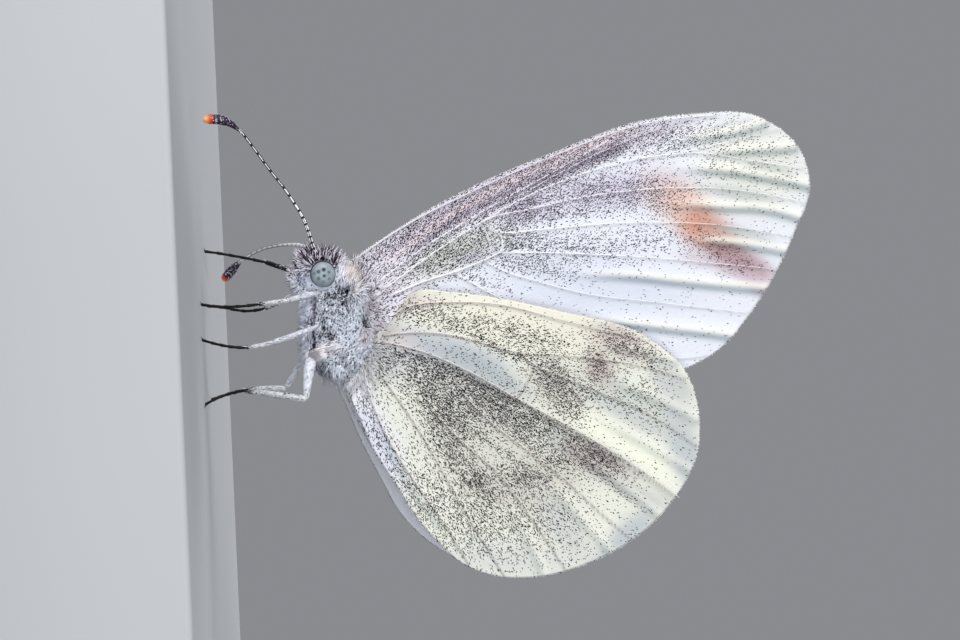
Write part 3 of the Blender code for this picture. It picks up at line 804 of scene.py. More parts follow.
def make_membrane(wing, paint):
    """The thin double-faced sheet of a wing, joined round its edge."""
    flat = wing.grid()
    rows, columns = flat.shape[0], flat.shape[1]
    flat = flat.reshape(-1, 2)
    relief = wing.relief(flat)
    half = MEMBRANE_THICKNESS / 2
    outer = wing.place(flat, relief + half)
    inner = wing.place(flat, relief - half)
    number = np.arange(rows * columns).reshape(rows, columns)
    quads = [number[:-1, :-1], number[1:, :-1], number[1:, 1:], number[:-1, 1:]]
    quads = np.stack(quads, axis=-1).reshape(-1, 4)
    border = np.concatenate([number[0, :-1], number[:-1, -1], number[-1, :0:-1], number[:0:-1, 0]])
    after = np.roll(border, -1)
    count = len(flat)
    band = np.stack([border, after, after + count, border + count], axis=1)
    faces = np.concatenate([quads, quads[:, ::-1] + count, band])
    if wing.side == RIGHT:
        faces = faces[:, ::-1]
    uv = np.concatenate([wing.unwrap(flat), wing.unwrap(flat, inner_face=True)])
    piece = new_mesh(wing.name + "_membrane", np.concatenate([outer, inner]), faces, paint, uv)
    add_colour(piece, np.concatenate([wing.ground(flat), inner_colour(wing, flat)]))
    add_value(piece, "dust", np.concatenate([wing.dust(flat), np.zeros(count)]))
    on_body(piece, wing.slot, wing.name)


def blades(roots, headings, normals, lengths, widths, lift=0.25):
    """Many small closed scales: a lozenge with a ridge, lying along its heading and rising at the tip."""
    side = unit(np.cross(normals, headings))
    length, width = lengths[:, None], widths[:, None]
    belly = roots + headings * length * 0.55
    tip = roots + headings * length + normals * length * lift * 0.3
    ridge = belly + normals * width * 0.32 + normals * length * lift * 0.2
    corners = np.stack([roots, belly + side * width, tip, belly - side * width, ridge], axis=1)
    return repeated(corners, [(0, 1, 4), (1, 2, 4), (2, 3, 4), (3, 0, 4), (0, 3, 2), (0, 2, 1)])


def flakes(roots, headings, normals, lengths, widths):
    """Very small closed scales with four faces, raised at the tip."""
    side = unit(np.cross(normals, headings))
    length, width = lengths[:, None], widths[:, None]
    belly = roots + headings * length * 0.6
    tip = roots + headings * length + normals * width * 0.7
    tail = roots + normals * width * 0.5
    corners = np.stack([tail, belly + side * width, belly - side * width, tip], axis=1)
    return repeated(corners, [(0, 2, 1), (0, 1, 3), (1, 2, 3), (2, 0, 3)])


def inside(points, polygon):
    """Which points lie inside a closed outline."""
    hit = np.zeros(len(points), bool)
    x, y = points.T
    for (x1, y1), (x2, y2) in zip(polygon, np.roll(polygon, -1, axis=0)):
        if y1 == y2:
            continue
        crosses = (y1 > y) != (y2 > y)
        hit ^= crosses & (x < (x2 - x1) * (y - y1) / (y2 - y1) + x1)
    return hit


def scatter(wing, gap_along, gap_across, chance):
    """Flat places in loose rows inside the wing, kept with the given chance."""
    edge = wing.edge()
    low, high = edge.min(axis=0), edge.max(axis=0)
    along, across = np.arange(low[0], high[0], gap_along), np.arange(low[1], high[1], gap_across)
    flat = np.stack(np.meshgrid(along, across, indexing="ij"), axis=-1)
    flat[1::2, :, 1] += gap_across / 2
    flat = flat.reshape(-1, 2)
    flat = flat + RANDOM.normal(0, 0.30, flat.shape) * (gap_along, gap_across)
    flat = flat[inside(flat, edge)]
    return flat[RANDOM.uniform(0, 1, len(flat)) < chance(flat)]


def scale_headings(flat, jitter):
    """Scales point away from the wing's root, give or take."""
    turn = np.arctan2(flat[:, 1] + 0.6, flat[:, 0] + 1.5) + RANDOM.normal(0, jitter, len(flat))
    return np.stack([np.cos(turn), np.sin(turn)], axis=1)


def laid_on(wing, flat, heading):
    """Roots on the outer face, headings laid along it and the outward way."""
    here, normal = wing.outward(flat)
    return here + normal * (MEMBRANE_THICKNESS / 2 + CLEAR), laid_flat(wing.heading(heading), normal), normal


# Dark scales: (gaps along and across, size, darkest colour, how seldom they are faded)
FOREWING["dust_look"] = (0.066, 0.049, 0.94, tint(20, 13, 30), 3.2)
HINDWING["dust_look"] = (0.061, 0.046, 1.0, tint(8, 6, 9), 4.0)
FLAKE_LENGTHS, FLAKE_HALF_WIDTHS = (0.066, 0.116), (0.015, 0.025)


def make_dust(wing, paint):
    """Dark scales strewn over the underside."""
    gap_along, gap_across, size, darkest, seldom = wing.drawing["dust_look"]
    flat = scatter(wing, gap_along, gap_across, wing.dust)
    roots, ahead, normal = laid_on(wing, flat, scale_headings(flat, 0.40))
    count = len(flat)
    near = size * (1 + 0.25 * np.exp(-np.hypot(flat[:, 0], flat[:, 1]) / 3.5))
    large = 1 + 0.4 * (RANDOM.uniform(0, 1, count) < 0.15)
    shapes = flakes(roots, ahead, normal, RANDOM.uniform(*FLAKE_LENGTHS, count) * near * large,
                    RANDOM.uniform(*FLAKE_HALF_WIDTHS, count) * near * large)
    faded = RANDOM.uniform(0, 1, count)**seldom
    warm = wing.warmth(flat) * RANDOM.uniform(0.6, 1.1, count)
    colours = blended(blended(np.array(darkest), tint(96, 68, 78), warm), tint(160, 148, 154), faded)
    colours *= RANDOM.uniform(0.6, 1.3, (count, 1))
    add_coat(wing.name + "_dust", wing.slot, shapes, paint, wing.unwrap(flat), colours)


# Hairs at each hinge: (count, pale colour, share of dark ones)
FOREWING["root_hair"] = (240, tint(250, 234, 239), 0.30)
HINDWING["root_hair"] = (600, tint(248, 248, 255), 0.07)


def make_root_hair(wing, paint):
    """Long pale hairs that run from the hinge out over the wing."""
    count, pale, dark_share = wing.drawing["root_hair"]
    start, end, out = wing.hinge()
    reach = RANDOM.gamma(1.2, 0.30, (count, 1)).clip(0.02, 2.0)
    flat = start + (end - start) * RANDOM.uniform(0.02, 0.98, (count, 1)) + out * reach
    flat = flat[inside(flat, wing.edge())]
    roots, ahead, normal = laid_on(wing, flat, scale_headings(flat, 0.28))
    count = len(flat)
    ahead = unit(ahead + normal * RANDOM.uniform(0.05, 0.30, (count, 1)))
    shapes = strands(roots, ahead, normal, RANDOM.uniform(0.35, 0.80, count),
                     RANDOM.uniform(0.010, 0.018, count))
    colours = blended(wing.ground(flat), pale[:3], np.full(count, 0.6))
    dark = RANDOM.uniform(0, 1, (count, 1)) < dark_share
    colours *= np.where(dark, 0.08, RANDOM.uniform(0.75, 1.1, (count, 1)))
    add_coat(wing.name + "_root_hair", wing.slot, shapes, paint, wing.unwrap(flat), colours)


def make_fringe(wing, paint):
    """White scales standing out round the wing's free edge."""
    edge = smooth_curve(wing.edge()[::4], FRINGE_SCALES)
    ahead = forward_along(edge)
    away = np.stack([ahead[:, 1], -ahead[:, 0]], axis=1)
    flat = edge - away * FRINGE_ROOT
    here, normal = wing.outward(flat)
    count = len(edge)
    heading = laid_flat(wing.heading(away + ahead * RANDOM.normal(0, 0.22, (count, 1))), normal)
    shapes = blades(here, heading, normal, RANDOM.uniform(0.11, FRINGE_ROOT + FRINGE, count),
                    RANDOM.uniform(0.02, 0.04, count), lift=0.0)
    add_coat(wing.name + "_fringe", wing.slot, shapes, paint, wing.unwrap(flat))


def tube(route, radii, sides):
    """A closed tapering tube along a route of points in space."""
    ahead = forward_along(route)
    first = unit(np.cross(ahead, (0.13, 0.94, 0.31)))[:, None]
    second = np.cross(ahead[:, None], first)
    turn = np.linspace(0, 2 * math.pi, sides, endpoint=False)[None, :, None]
    ring = np.cos(turn) * first + np.sin(turn) * second
    points = (route[:, None] + ring * radii[:, None, None]).reshape(-1, 3)
    return np.concatenate([points, route[:1], route[-1:]]), *ring_faces(len(route), sides)


def round_tube(colours, sides):
    """A tube's colours along its route, given to all its points."""
    return np.concatenate([np.repeat(colours, sides, axis=0), colours[:1], colours[-1:]])


def joined(parts):
    """Several (points, quads, triangles) shapes as one."""
    points, quads, triangles, base = [], [], [], 0
    for part_points, part_quads, part_triangles in parts:
        points.append(part_points)
        quads.append(part_quads + base)
        triangles.append(part_triangles + base)
        base += len(part_points)
    return np.concatenate(points), [np.concatenate(quads), np.concatenate(triangles)]


# Veins: (colour, how much it covers the ground's)
FOREWING["vein_look"] = (tint(242, 240, 236), 0.60)
HINDWING["vein_look"] = (tint(222, 204, 196), 0.75)
VEIN_SIDES = 6


def make_veins(wing, paint):
    """Slender tapering ridges that stand a little proud of both faces."""
    parts, colours = [], []
    hue, usual_cover = wing.drawing["vein_look"]
    for vein, (line, base, end) in wing.drawing["veins"].items():
        flat = smooth_curve(line, 70)
        route = wing.place(flat, wing.relief(flat) + 0.008)
        share = np.linspace(0, 1, len(flat))
        taper = (base + (end - base) * share) * 0.66 * smooth_step(share, -0.03, 0.06)
        parts.append(tube(route, taper + 0.003, VEIN_SIDES))
        cover = np.full(len(flat), usual_cover * (0.3 if vein == "costa" else 1.0))
        colours.append(round_tube(blended(wing.ground(flat), hue[:3], cover), VEIN_SIDES))
    points, faces = joined(parts)
    piece = new_mesh(wing.name + "_veins", points, faces, paint)
    add_colour(piece, np.concatenate(colours))
    on_body(piece, wing.slot)


def vein_paint():
    paint = Paint("wing_vein", roughness=0.5, Specular_IOR_Level=0.4)
    grain = paint.noise(paint.solid_place(), 3.0)
    streaked = paint.mix(grain.between(0.35, 0.7) * 0.25, paint.own_colour(), tint(190, 182, 186))
    return paint.colour(streaked).material


def scale_paint(name):
    """Scales and hairs that carry their own colour, a little uneven."""
    paint = Paint(name, roughness=0.55, Specular_IOR_Level=0.3)
    grain = paint.noise(paint.solid_place(), 5.0)
    uneven = paint.mix(grain.between(0.3, 0.75) * 0.09, paint.own_colour(), tint(34, 30, 40))
    return paint.colour(uneven).material


def fringe_paint():
    paint = Paint("white_wing_fringe", roughness=0.6)
    grain = paint.noise(paint.solid_place(), 2.5).between(0.35, 0.65)
    return paint.colour(paint.mix(grain, tint(224, 224, 222), tint(196, 194, 196))).material


def make_wings():
    membrane, vein, fringe = membrane_paint(), vein_paint(), fringe_paint()
    dust, hair = scale_paint("dark_wing_scale"), scale_paint("wing_root_hair")
    for kind, drawing in (("forewing", FOREWING), ("hindwing", HINDWING)):
        charts = wing_charts(drawing)
        for side in (LEFT, RIGHT):
            wing = Wing(kind, drawing, charts, side)
            make_membrane(wing, membrane)
            make_veins(wing, vein)
            make_dust(wing, dust)
            make_fringe(wing, fringe)
            make_root_hair(wing, hair)


# ---------------------------------------------------------------- body skin

ABDOMEN_AXIS = [(-1.95, 0.0, 6.85), (1.15, 0.0, 8.02), (4.0, 0.0, 9.55), (6.2, 0.0, 10.95)]
PALP_ROUTE = [(-4.95, 0.36, 5.15), (-5.35, 0.37, 4.72), (-5.85, 0.37, 4.50), (-6.20, 0.36, 4.40)]
EYE_HALF = np.array((0.63, 0.44, 0.60))
SKIN_VOXEL, SKIN_ROUNDS = 0.07, 8      # how finely the skin is grown, and how often it is calmed


def sphere_net(fineness):
    shell = bmesh.new()
    bmesh.ops.create_icosphere(shell, subdivisions=fineness, radius=1.0)
    points = np.array([vert.co for vert in shell.verts])
    faces = np.array([[vert.index for vert in face.verts] for face in shell.faces])
    shell.free()
    return points, faces


def lump(net, centre, half, fullness=2.0, tilt=0.0):
    """A swollen ball, tilted about the side-to-side axis."""
    points, faces = net
    swell = (np.abs(points)**fullness).sum(axis=1)**(-1 / fullness)
    points = points * swell[:, None] * half
    turn = math.radians(tilt)
    x = points[:, 0] * math.cos(turn) + points[:, 2] * math.sin(turn)
    z = points[:, 2] * math.cos(turn) - points[:, 0] * math.sin(turn)
    return np.stack([x, points[:, 1], z], axis=1) + centre, np.zeros((0, 4), int), faces


def both_sides(route):
    return [np.array(route) * (1, side, 1) for side in (LEFT, RIGHT)]


def rounded_ends(count):
    share = np.linspace(0, 1, count)
    return np.sqrt(np.clip(1 - np.abs(2 * share - 1)**6, 0.02, 1))


def abdomen_radius(share):
    return 0.66 * np.sqrt(np.clip(1 - np.abs(2 * share - 1)**3.5, 0, 1)) * (
        0.96 + 0.12 * np.sin(math.pi * share) - 0.30 * share)


def skin_parts():
    """Overlapping lumps of head, thorax and abdomen, before they are grown together."""
    net = sphere_net(5)
    parts = [
        lump(net, (-5.80, 0, 5.80), (1.00, 0.80, 1.06), 2.3),       # skull
        lump(net, (-6.28, 0, 5.38), (0.56, 0.52, 0.66), 2.2, 25),   # face
        lump(net, (-4.95, 0, 6.10), (0.60, 0.66, 0.90), 2.2),       # neck
        lump(net, (-5.35, 0, 6.85), (0.62, 0.66, 0.62), 2.2),       # collar
        lump(net, (-3.05, 0, 6.50), (2.08, 1.16, 1.58), 2.6),       # thorax
        lump(net, (-2.20, 0, 6.80), (1.50, 0.95, 1.15), 2.3, -20)]  # rear of the thorax
    for side in (LEFT, RIGHT):
        parts += [
            lump(net, (-4.35, side * 0.74, 7.50), (0.95, 0.34, 0.52), 2.2, 12),   # tegula
            lump(net, (-3.75, side * 0.92, 6.35), (0.95, 0.32, 0.66), 2.3, -20),  # side plates
            lump(net, (-2.45, side * 0.82, 6.75), (0.75, 0.40, 0.62), 2.2, -15),
            lump(net, (-2.55, side * 0.80, 7.62), (0.75, 0.46, 0.58), 2.2, 20),   # round the wing hinges
            lump(net, (-1.85, side * 0.70, 7.20), (0.75, 0.48, 0.62), 2.2, 35),
            lump(net, (-1.40, side * 0.58, 6.75), (0.62, 0.44, 0.62), 2.2, 20)]
    for route, start, end in (([(-4.80, 0.60, 5.35), (-4.30, 0.72, 5.16), (-3.72, 0.74, 5.14)], 0.30, 0.22),
                              ([(-3.50, 0.72, 5.24), (-2.90, 0.74, 5.12), (-2.25, 0.68, 5.14)], 0.30, 0.20),
                              ([(-2.75, 0.55, 5.60), (-2.25, 0.58, 5.30), (-1.85, 0.60, 5.10)], 0.36, 0.24),
                              (PALP_ROUTE, 0.20, 0.11)):
        for limb in both_sides(route):
            path = smooth_curve(limb, 16)
            parts.append(tube(path, np.linspace(start, end, len(path)) * rounded_ends(len(path)), 14))
    path = smooth_curve(ABDOMEN_AXIS, 60)
    parts.append(tube(path, np.maximum(abdomen_radius(np.linspace(0, 1, len(path))), 0.01), 28))
    return parts


def grown_together(parts, voxel, rounds):
    """One closed skin round overlapping shapes. It is worked a thousand times life size, because its
    voxels can't be under a tenth of a millimetre."""
    mesh = fill_mesh("rough_skin", *joined(parts))
    rough = bpy.data.objects.new("rough_skin", mesh)
    bpy.context.scene.collection.objects.link(rough)
    mesher = rough.modifiers.new("grow", "REMESH")
    mesher.mode = "VOXEL"
    mesher.voxel_size = voxel
    calm = rough.modifiers.new("calm", "SMOOTH")
    calm.factor = 0.5
    calm.iterations = rounds
    even = rough.evaluated_get(bpy.context.evaluated_depsgraph_get()).to_mesh()
    points = np.empty(len(even.vertices) * 3, np.float32)
    even.vertices.foreach_get("co", points)
    corners = np.empty(len(even.loops), np.int32)
    even.loops.foreach_get("vertex_index", corners)
    bpy.data.objects.remove(rough)
    return points.reshape(-1, 3).astype(float), corners.reshape(-1, 4)


class Skin:
    """The grown skin, with places picked at random on it and the way its coat lies there."""

    def __init__(self):
        self.points, self.quads = grown_together(skin_parts(), SKIN_VOXEL, SKIN_ROUNDS)
        self.triangles = np.concatenate([self.quads[:, (0, 1, 2)], self.quads[:, (0, 2, 3)]])
        first, second, third = self.corners(slice(None))
        normal = np.cross(second - first, third - first)
        self.area = np.linalg.norm(normal, axis=1)
        self.normals = normal / np.maximum(self.area, 1e-12)[:, None]
        self.middles = (first + second + third) / 3

    def corners(self, index):
        return (self.points[self.triangles[index, k]] for k in range(3))

    def pick(self, count, chance):
        """Random places on the skin, thickest where the chance is highest, and the outward way there."""
        weight = np.cumsum(self.area * np.clip(chance(self.middles), 0, None))
        index = np.searchsorted(weight / weight[-1], RANDOM.uniform(0, 1, count))
        a, b = RANDOM.uniform(0, 1, (2, count))
        over = a + b > 1
        a[over], b[over] = 1 - a[over], 1 - b[over]
        first, second, third = self.corners(index)
        places = first + a[:, None] * (second - first) + b[:, None] * (third - first)
        keep = ~under_eye(places)
        return places[keep], self.normals[index][keep]


def under_eye(places):
    """Skin that the eyeballs cover, or that would hide them."""
    offset = (places - EYE_CENTRE * (1, 0, 1)) / EYE_HALF
    return (np.hypot(offset[:, 0], offset[:, 2]) < 1.02) & (np.abs(places[:, 1]) > 0.35)


def body_unwrap(places):
    """Unwraps the skin round a lengthwise line: u runs from head to tail and v round the body."""
    spine = np.interp(places[:, 0], [-8, -5.9, -3, -1.9, 1.2, 4, 6.2], [5.6, 5.7, 6.5, 6.9, 8.0, 9.5, 10.9])
    turn = np.arctan2(places[:, 1], places[:, 2] - spine) / (2 * math.pi)
    return np.stack([(places[:, 0] + 8.0) / 16.0, (turn + 0.5) * 0.96 + 0.02], axis=1)


def side_zone(places, spot):
    """A soft oval zone in the side view: (X, Z, half along X, half along Z)."""
    x, z, half_x, half_z = spot[:4]
    return np.exp(-(((places[:, 0] - x) / half_x)**2 + ((places[:, 2] - z) / half_z)**2))


BODY_GROUND = tint(240, 244, 255)
BODY_TINTS = [
    (tint(128, 114, 136), 0.88, [(-6.8, 5.9, 0.42, 0.85), (-6.58, 5.28, 0.30, 0.38)]),
    (tint(214, 204, 218), 0.80, [(-6.2, 4.45, 0.40, 0.30)]),
    (tint(214, 219, 240), 0.9, [(-5.85, 5.15, 0.40, 0.34)]),
    (tint(210, 192, 196), 0.85, [(-5.95, 7.0, 0.5, 0.30)]),
    (tint(242, 232, 226), 0.9, [(-5.50, 7.28, 0.55, 0.38)]),
    (tint(226, 230, 246), 0.8, [(-4.2, 5.10, 0.9, 0.22), (-2.9, 5.15, 0.8, 0.22)]),
    # painted shade: violet grey along the furrows where the coxae meet the thorax
    (tint(140, 128, 148), 0.85, [(-4.3, 5.46, 0.8, 0.13), (-2.9, 5.40, 0.7, 0.13)]),
    (tint(232, 240, 250), 0.8, [(-3.6, 7.3, 0.5, 0.4), (-1.7, 6.9, 0.7, 0.6)]),
    (tint(255, 248, 251), 1.0, [(-2.45, 6.3, 0.32, 0.6), (-2.10, 5.6, 0.35, 0.5)]),
    # painted shade: grey under the fluff at the rear of the thorax
    (tint(150, 156, 170), 0.85, [(-1.35, 5.72, 0.50, 0.42)]),
    (tint(232, 216, 224), 0.7, [(-4.54, 7.98, 0.4, 0.3), (-2.9, 7.85, 0.4, 0.3)]),
    (tint(110, 98, 112), 0.7, [(-3.64, 7.78, 0.42, 0.07)]),
    (tint(238, 240, 244), 0.8, [(0.5, 7.0, 1.5, 0.8), (3.5, 9.0, 3.0, 1.5)])]
# Where the dark scales are: (X, Z, half along X, half along Z, strength)
BODY_DUST = [
    (-6.75, 5.95, 0.32, 0.65, 0.86), (-6.58, 5.28, 0.30, 0.42, 0.74), (-5.26, 6.85, 0.28, 0.30, 0.50),
    (-6.4, 6.55, 0.25, 0.30, 0.60), (-6.3, 4.75, 0.30, 0.30, 0.44),
    (-4.75, 6.80, 0.42, 0.55, 0.62), (-4.8, 6.17, 0.30, 0.30, 0.34), (-3.9, 6.6, 0.9, 0.8, 0.16),
    (-3.2, 5.9, 0.6, 0.5, 0.17),
    (-3.6, 7.80, 0.55, 0.09, 0.60), (-3.7, 5.43, 1.2, 0.10, 0.30), (-5.7, 4.68, 0.5, 0.30, 0.20),
    (-2.41, 5.40, 0.22, 0.10, 0.6), (-2.95, 6.15, 0.16, 0.40, 0.30),
    (-1.85, 6.45, 0.25, 0.35, 0.22), (-1.9, 7.1, 0.35, 0.45, 0.14), (-4.2, 5.2, 0.8, 0.3, 0.04),
    (1.5, 8.2, 2.0, 0.8, 0.10)]


def body_colour(places):
    return in_zones(BODY_GROUND, BODY_TINTS, side_zone, places, 0.05, 0.85)


def body_dust(places):
    amount = np.full(len(places), 0.06)
    for spot in BODY_DUST:
        amount = amount + (1 - amount) * spot[4] * side_zone(places, spot)
    return amount


# How the coat lies, seen from the side: (X, Z, direction along X, direction along Z)
LIE = np.array([
    (-7.06, 5.96, -1.0, 0.1), (-6.92, 6.44, -1.0, 0.35), (-6.79, 5.22, -1.0, -0.4), (-6.62, 4.79, -0.7, -0.9),
    (-5.90, 4.70, -0.3, -1.0), (-5.35, 4.68, 0.3, -1.0), (-5.82, 5.12, 0.7, -0.4), (-6.24, 6.72, -0.6, 0.5),
    (-5.18, 6.00, 1.0, 0.1), (-5.98, 7.01, -1.0, 0.45), (-5.79, 7.30, -0.8, 0.6), (-5.20, 6.79, -0.8, 0.3),
    (-4.80, 6.17, 0.9, -0.3), (-4.41, 6.94, 1.0, 0.0), (-3.88, 6.43, 0.7, -0.6), (-3.30, 5.92, 0.8, -0.6),
    (-3.84, 7.40, 1.0, -0.2), (-3.82, 7.89, 1.0, 0.1), (-2.60, 6.66, 0.38, -0.92), (-2.36, 6.15, 0.38, -0.92),
    (-2.10, 5.50, 0.45, -0.90), (-2.04, 6.95, 0.8, -0.5), (-1.30, 5.71, 1.0, -0.1), (-0.98, 6.18, 1.0, 0.1),
    (-3.65, 4.72, 0.4, -0.9), (-2.56, 4.68, 0.5, -0.9), (-4.24, 5.17, 1.0, 0.0), (-2.91, 5.18, 1.0, 0.0),
    (-4.60, 4.80, 0.2, -0.9), (-0.54, 6.59, 1.0, 0.3), (-0.37, 6.28, 1.0, 0.0), (3.0, 8.9, 1.0, 0.5),
    (6.0, 10.6, 1.0, 0.5), (-1.5, 8.2, 1.0, 0.3), (-4.5, 8.0, 0.8, 0.5)])


def lie_of(places, normals, rise, jitter):
    """Headings of tufts: the combed direction, laid on the skin, raised and ruffled."""
    gap = (places[:, None, 0] - LIE[None, :, 0])**2 + (places[:, None, 2] - LIE[None, :, 1])**2
    weight = 1 / (gap + 0.03)**2
    combed = (weight[:, :, None] * LIE[None, :, 2:]).sum(axis=1)
    heading = unit(np.stack([combed[:, 0], np.zeros(len(places)), combed[:, 1]], axis=1))
    heading = heading + RANDOM.normal(0, jitter, heading.shape)
    return unit(laid_flat(heading, normals) + normals * rise)


DROOP = 0.12                   # how much the outer half of a hair bends towards the skin
STRAND_PATTERN = [(0, 1, 3), (1, 4, 3), (1, 2, 4), (2, 5, 4), (2, 0, 5), (0, 3, 5),
                  (3, 4, 6), (4, 5, 6), (5, 3, 6), (2, 1, 0)]


def strands(roots, headings, normals, lengths, widths):
    """Closed three-sided spikes that bend over towards the skin."""
    side = unit(np.cross(headings, normals + 0.01))
    depth = np.cross(side, headings)
    length, width = lengths[:, None], widths[:, None]
    middle = roots + headings * length * 0.5
    tip = middle + unit(headings - normals * DROOP) * length * 0.5
    corners = [ring + (side * math.cos(turn) + depth * math.sin(turn)) * width * thin
               for ring, thin in ((roots - normals * 0.03, 1.0), (middle, 0.85)) for turn in (0.5, 2.6, 4.7)]
    return repeated(np.stack(corners + [tip], axis=1), STRAND_PATTERN)


COAT_LIGHT, HAIR_LIGHT = 1.15, 1.14    # how much lighter than the skin the scales and hairs are
CHEEK = (-5.75, 5.1, 0.7, 0.5)         # where the scales are small: (X, Z, half along X, half along Z)
BROW_FRONT, CHIN_TOP, CHIN_BACK = -6.1, 5.0, -5.2
NECK_BACK, THORAX_BACK = -4.9, -0.9
NOSE, TAIL = -np.inf, np.inf

# Long hair: (name, X, Z, half along X, half along Z, count, shortest, longest, rise, jitter)
LONG_HAIR = [
    ("brow", -6.85, 5.90, 0.40, 0.95, 900, 0.32, 0.62, 1.1, 0.30),
    ("brow", -6.60, 5.05, 0.40, 0.45, 560, 0.28, 0.56, 0.9, 0.30),
    ("brow", -6.25, 6.75, 0.40, 0.35, 420, 0.26, 0.50, 0.8, 0.28),
    ("spikes", -6.85, 6.00, 0.45, 0.95, 300, 0.50, 0.86, 1.7, 0.34),
    ("spikes", -6.55, 5.05, 0.45, 0.50, 170, 0.42, 0.74, 1.4, 0.32),
    ("palps", -5.80, 4.60, 0.80, 0.30, 950, 0.24, 0.50, 0.7, 0.28),
    ("collar", -5.65, 7.05, 0.55, 0.45, 2200, 0.50, 0.95, 0.75, 0.20),
    ("collar", -5.00, 7.20, 0.45, 0.45, 900, 0.28, 0.60, 0.40, 0.22),
    ("belly", -3.30, 4.86, 1.50, 0.22, 2600, 0.22, 0.50, 0.9, 0.28),
    ("belly", -2.60, 4.90, 0.90, 0.25, 600, 0.32, 0.58, 1.2, 0.30),
    ("belly", -3.90, 4.85, 0.80, 0.22, 260, 0.30, 0.52, 1.4, 0.30),
    ("swath", -2.56, 6.62, 0.16, 0.34, 260, 0.50, 0.90, 0.12, 0.14),
    ("swath", -2.42, 6.26, 0.16, 0.30, 420, 0.60, 1.00, 0.20, 0.12),
    ("swath", -2.30, 5.98, 0.15, 0.30, 560, 0.55, 0.95, 0.24, 0.12),
    ("swath", -2.14, 5.66, 0.16, 0.22, 560, 0.40, 0.80, 0.30, 0.14),
    ("swath", -2.02, 5.36, 0.20, 0.20, 520, 0.30, 0.62, 0.45, 0.20),
    ("tassel", -1.60, 5.95, 0.40, 0.48, 480, 0.22, 0.46, 0.28, 0.22),
    ("tassel", -1.30, 6.05, 0.40, 0.50, 90, 0.50, 1.10, 0.36, 0.24),
    ("rump", -0.95, 6.70, 0.55, 0.45, 700, 0.22, 0.42, 0.26, 0.20),
    ("side", -3.40, 6.10, 0.80, 0.60, 1500, 0.24, 0.46, 0.10, 0.16),
    ("hinge", -3.90, 7.75, 1.10, 0.30, 800, 0.22, 0.45, 0.25, 0.22),
    ("hinge", -3.45, 7.90, 0.50, 0.22, 520, 0.25, 0.50, 0.50, 0.30),
    ("hinge", -4.70, 7.70, 0.50, 0.35, 500, 0.35, 0.70, 0.35, 0.26),
    ("hinge", -2.10, 7.55, 0.90, 0.60, 1700, 0.25, 0.52, 0.28, 0.22)]


def make_scale_coat(skin, name, paint, count, region, lengths, widths):
    """Short flat scales all over a region, given as a range of X."""
    places, normals = skin.pick(count, lambda where: (where[:, 0] >= region[0]) & (where[:, 0] < region[1]))
    count = len(places)
    heading = lie_of(places, normals, 0.10, 0.22)
    colours = body_colour(places) * COAT_LIGHT * RANDOM.uniform(0.3, 1.0, (count, 1))**0.32
    small = np.where(side_zone(places, CHEEK) > 0.4, 0.65, 1.0)
    shapes = blades(places + normals * 0.015, heading, normals, RANDOM.uniform(*lengths, count) * small,
                    RANDOM.uniform(*widths, count) * small)
    add_coat(name, "body_hair", shapes, paint, body_unwrap(places), colours)


def make_flecks(skin, name, paint, count):
    """Small dark scales that lie on top of the white ones."""
    places, normals = skin.pick(count, body_dust)
    count = len(places)
    heading = lie_of(places, normals, 0.10, 0.25)
    colours = np.array(tint(12, 9, 16)) * RANDOM.uniform(0.3, 1.4, (count, 1))
    shapes = blades(places + normals * 0.10, heading, normals, RANDOM.uniform(0.08, 0.15, count),
                    RANDOM.uniform(0.019, 0.030, count))
    add_coat(name, "body_hair", shapes, paint, body_unwrap(places), colours)


def make_long_coat(skin, name, paint, names):
    """Long hair of the named tufts."""
    picked = []
    for tuft, x, z, half_x, half_z, count, shortest, longest, rise, jitter in LONG_HAIR:
        if tuft not in names:
            continue
        places, normals = skin.pick(count, lambda where: side_zone(where, (x, z, half_x, half_z)) - 0.08)
        heading = lie_of(places, normals, rise, jitter)
        lengths = RANDOM.uniform(shortest, longest, len(places))
        picked.append((places, normals, heading, lengths, np.full(len(places), tuft == "swath")))
    places, normals, heading, lengths, swath = (np.concatenate(group) for group in zip(*picked))
    count = len(places)
    evenness = np.where(swath, 0.16, 0.42)[:, None]
    colours = body_colour(places) * HAIR_LIGHT * RANDOM.uniform(0.25, 1.0, (count, 1))**evenness
    ahead = places[:, 0] < BROW_FRONT
    colours[ahead] = colours[ahead] * 0.35 + np.array(tint(236, 230, 242)) * 0.65
    below = (places[:, 2] < CHIN_TOP) & (places[:, 0] < CHIN_BACK)
    dark = RANDOM.uniform(0, 1, count) < body_dust(places) * np.where(ahead | below, 0.85, 0.40)
    dark &= ~swath
    colours[dark] = np.array(tint(48, 36, 56)) * RANDOM.uniform(0.4, 1.5, (dark.sum(), 1))
    thin = np.where(ahead, 1.15, 0.85)
    shapes = strands(places, heading, normals, lengths, RANDOM.uniform(0.016, 0.030, count) * thin)
    add_coat(name, "body_hair", shapes, paint, body_unwrap(places), colours)


def skin_paint():
    paint = Paint("scaly_skin", roughness=0.7, Specular_IOR_Level=0.25)
    place = paint.solid_place()
    scales = paint.cells(place, 9.0)
    speck = (1 - paint.cells(place, 7.0).between(0.16, 0.34)) * paint.attribute("dust") * 0.7
    ground = paint.mix(scales.between(0.0, 0.7) * 0.5 + 0.25, tint(204, 204, 216), paint.own_colour())
    paint.colour(paint.mix(speck, ground, tint(60, 54, 66)))
    return paint.bump(scales, 0.03, 0.8).material


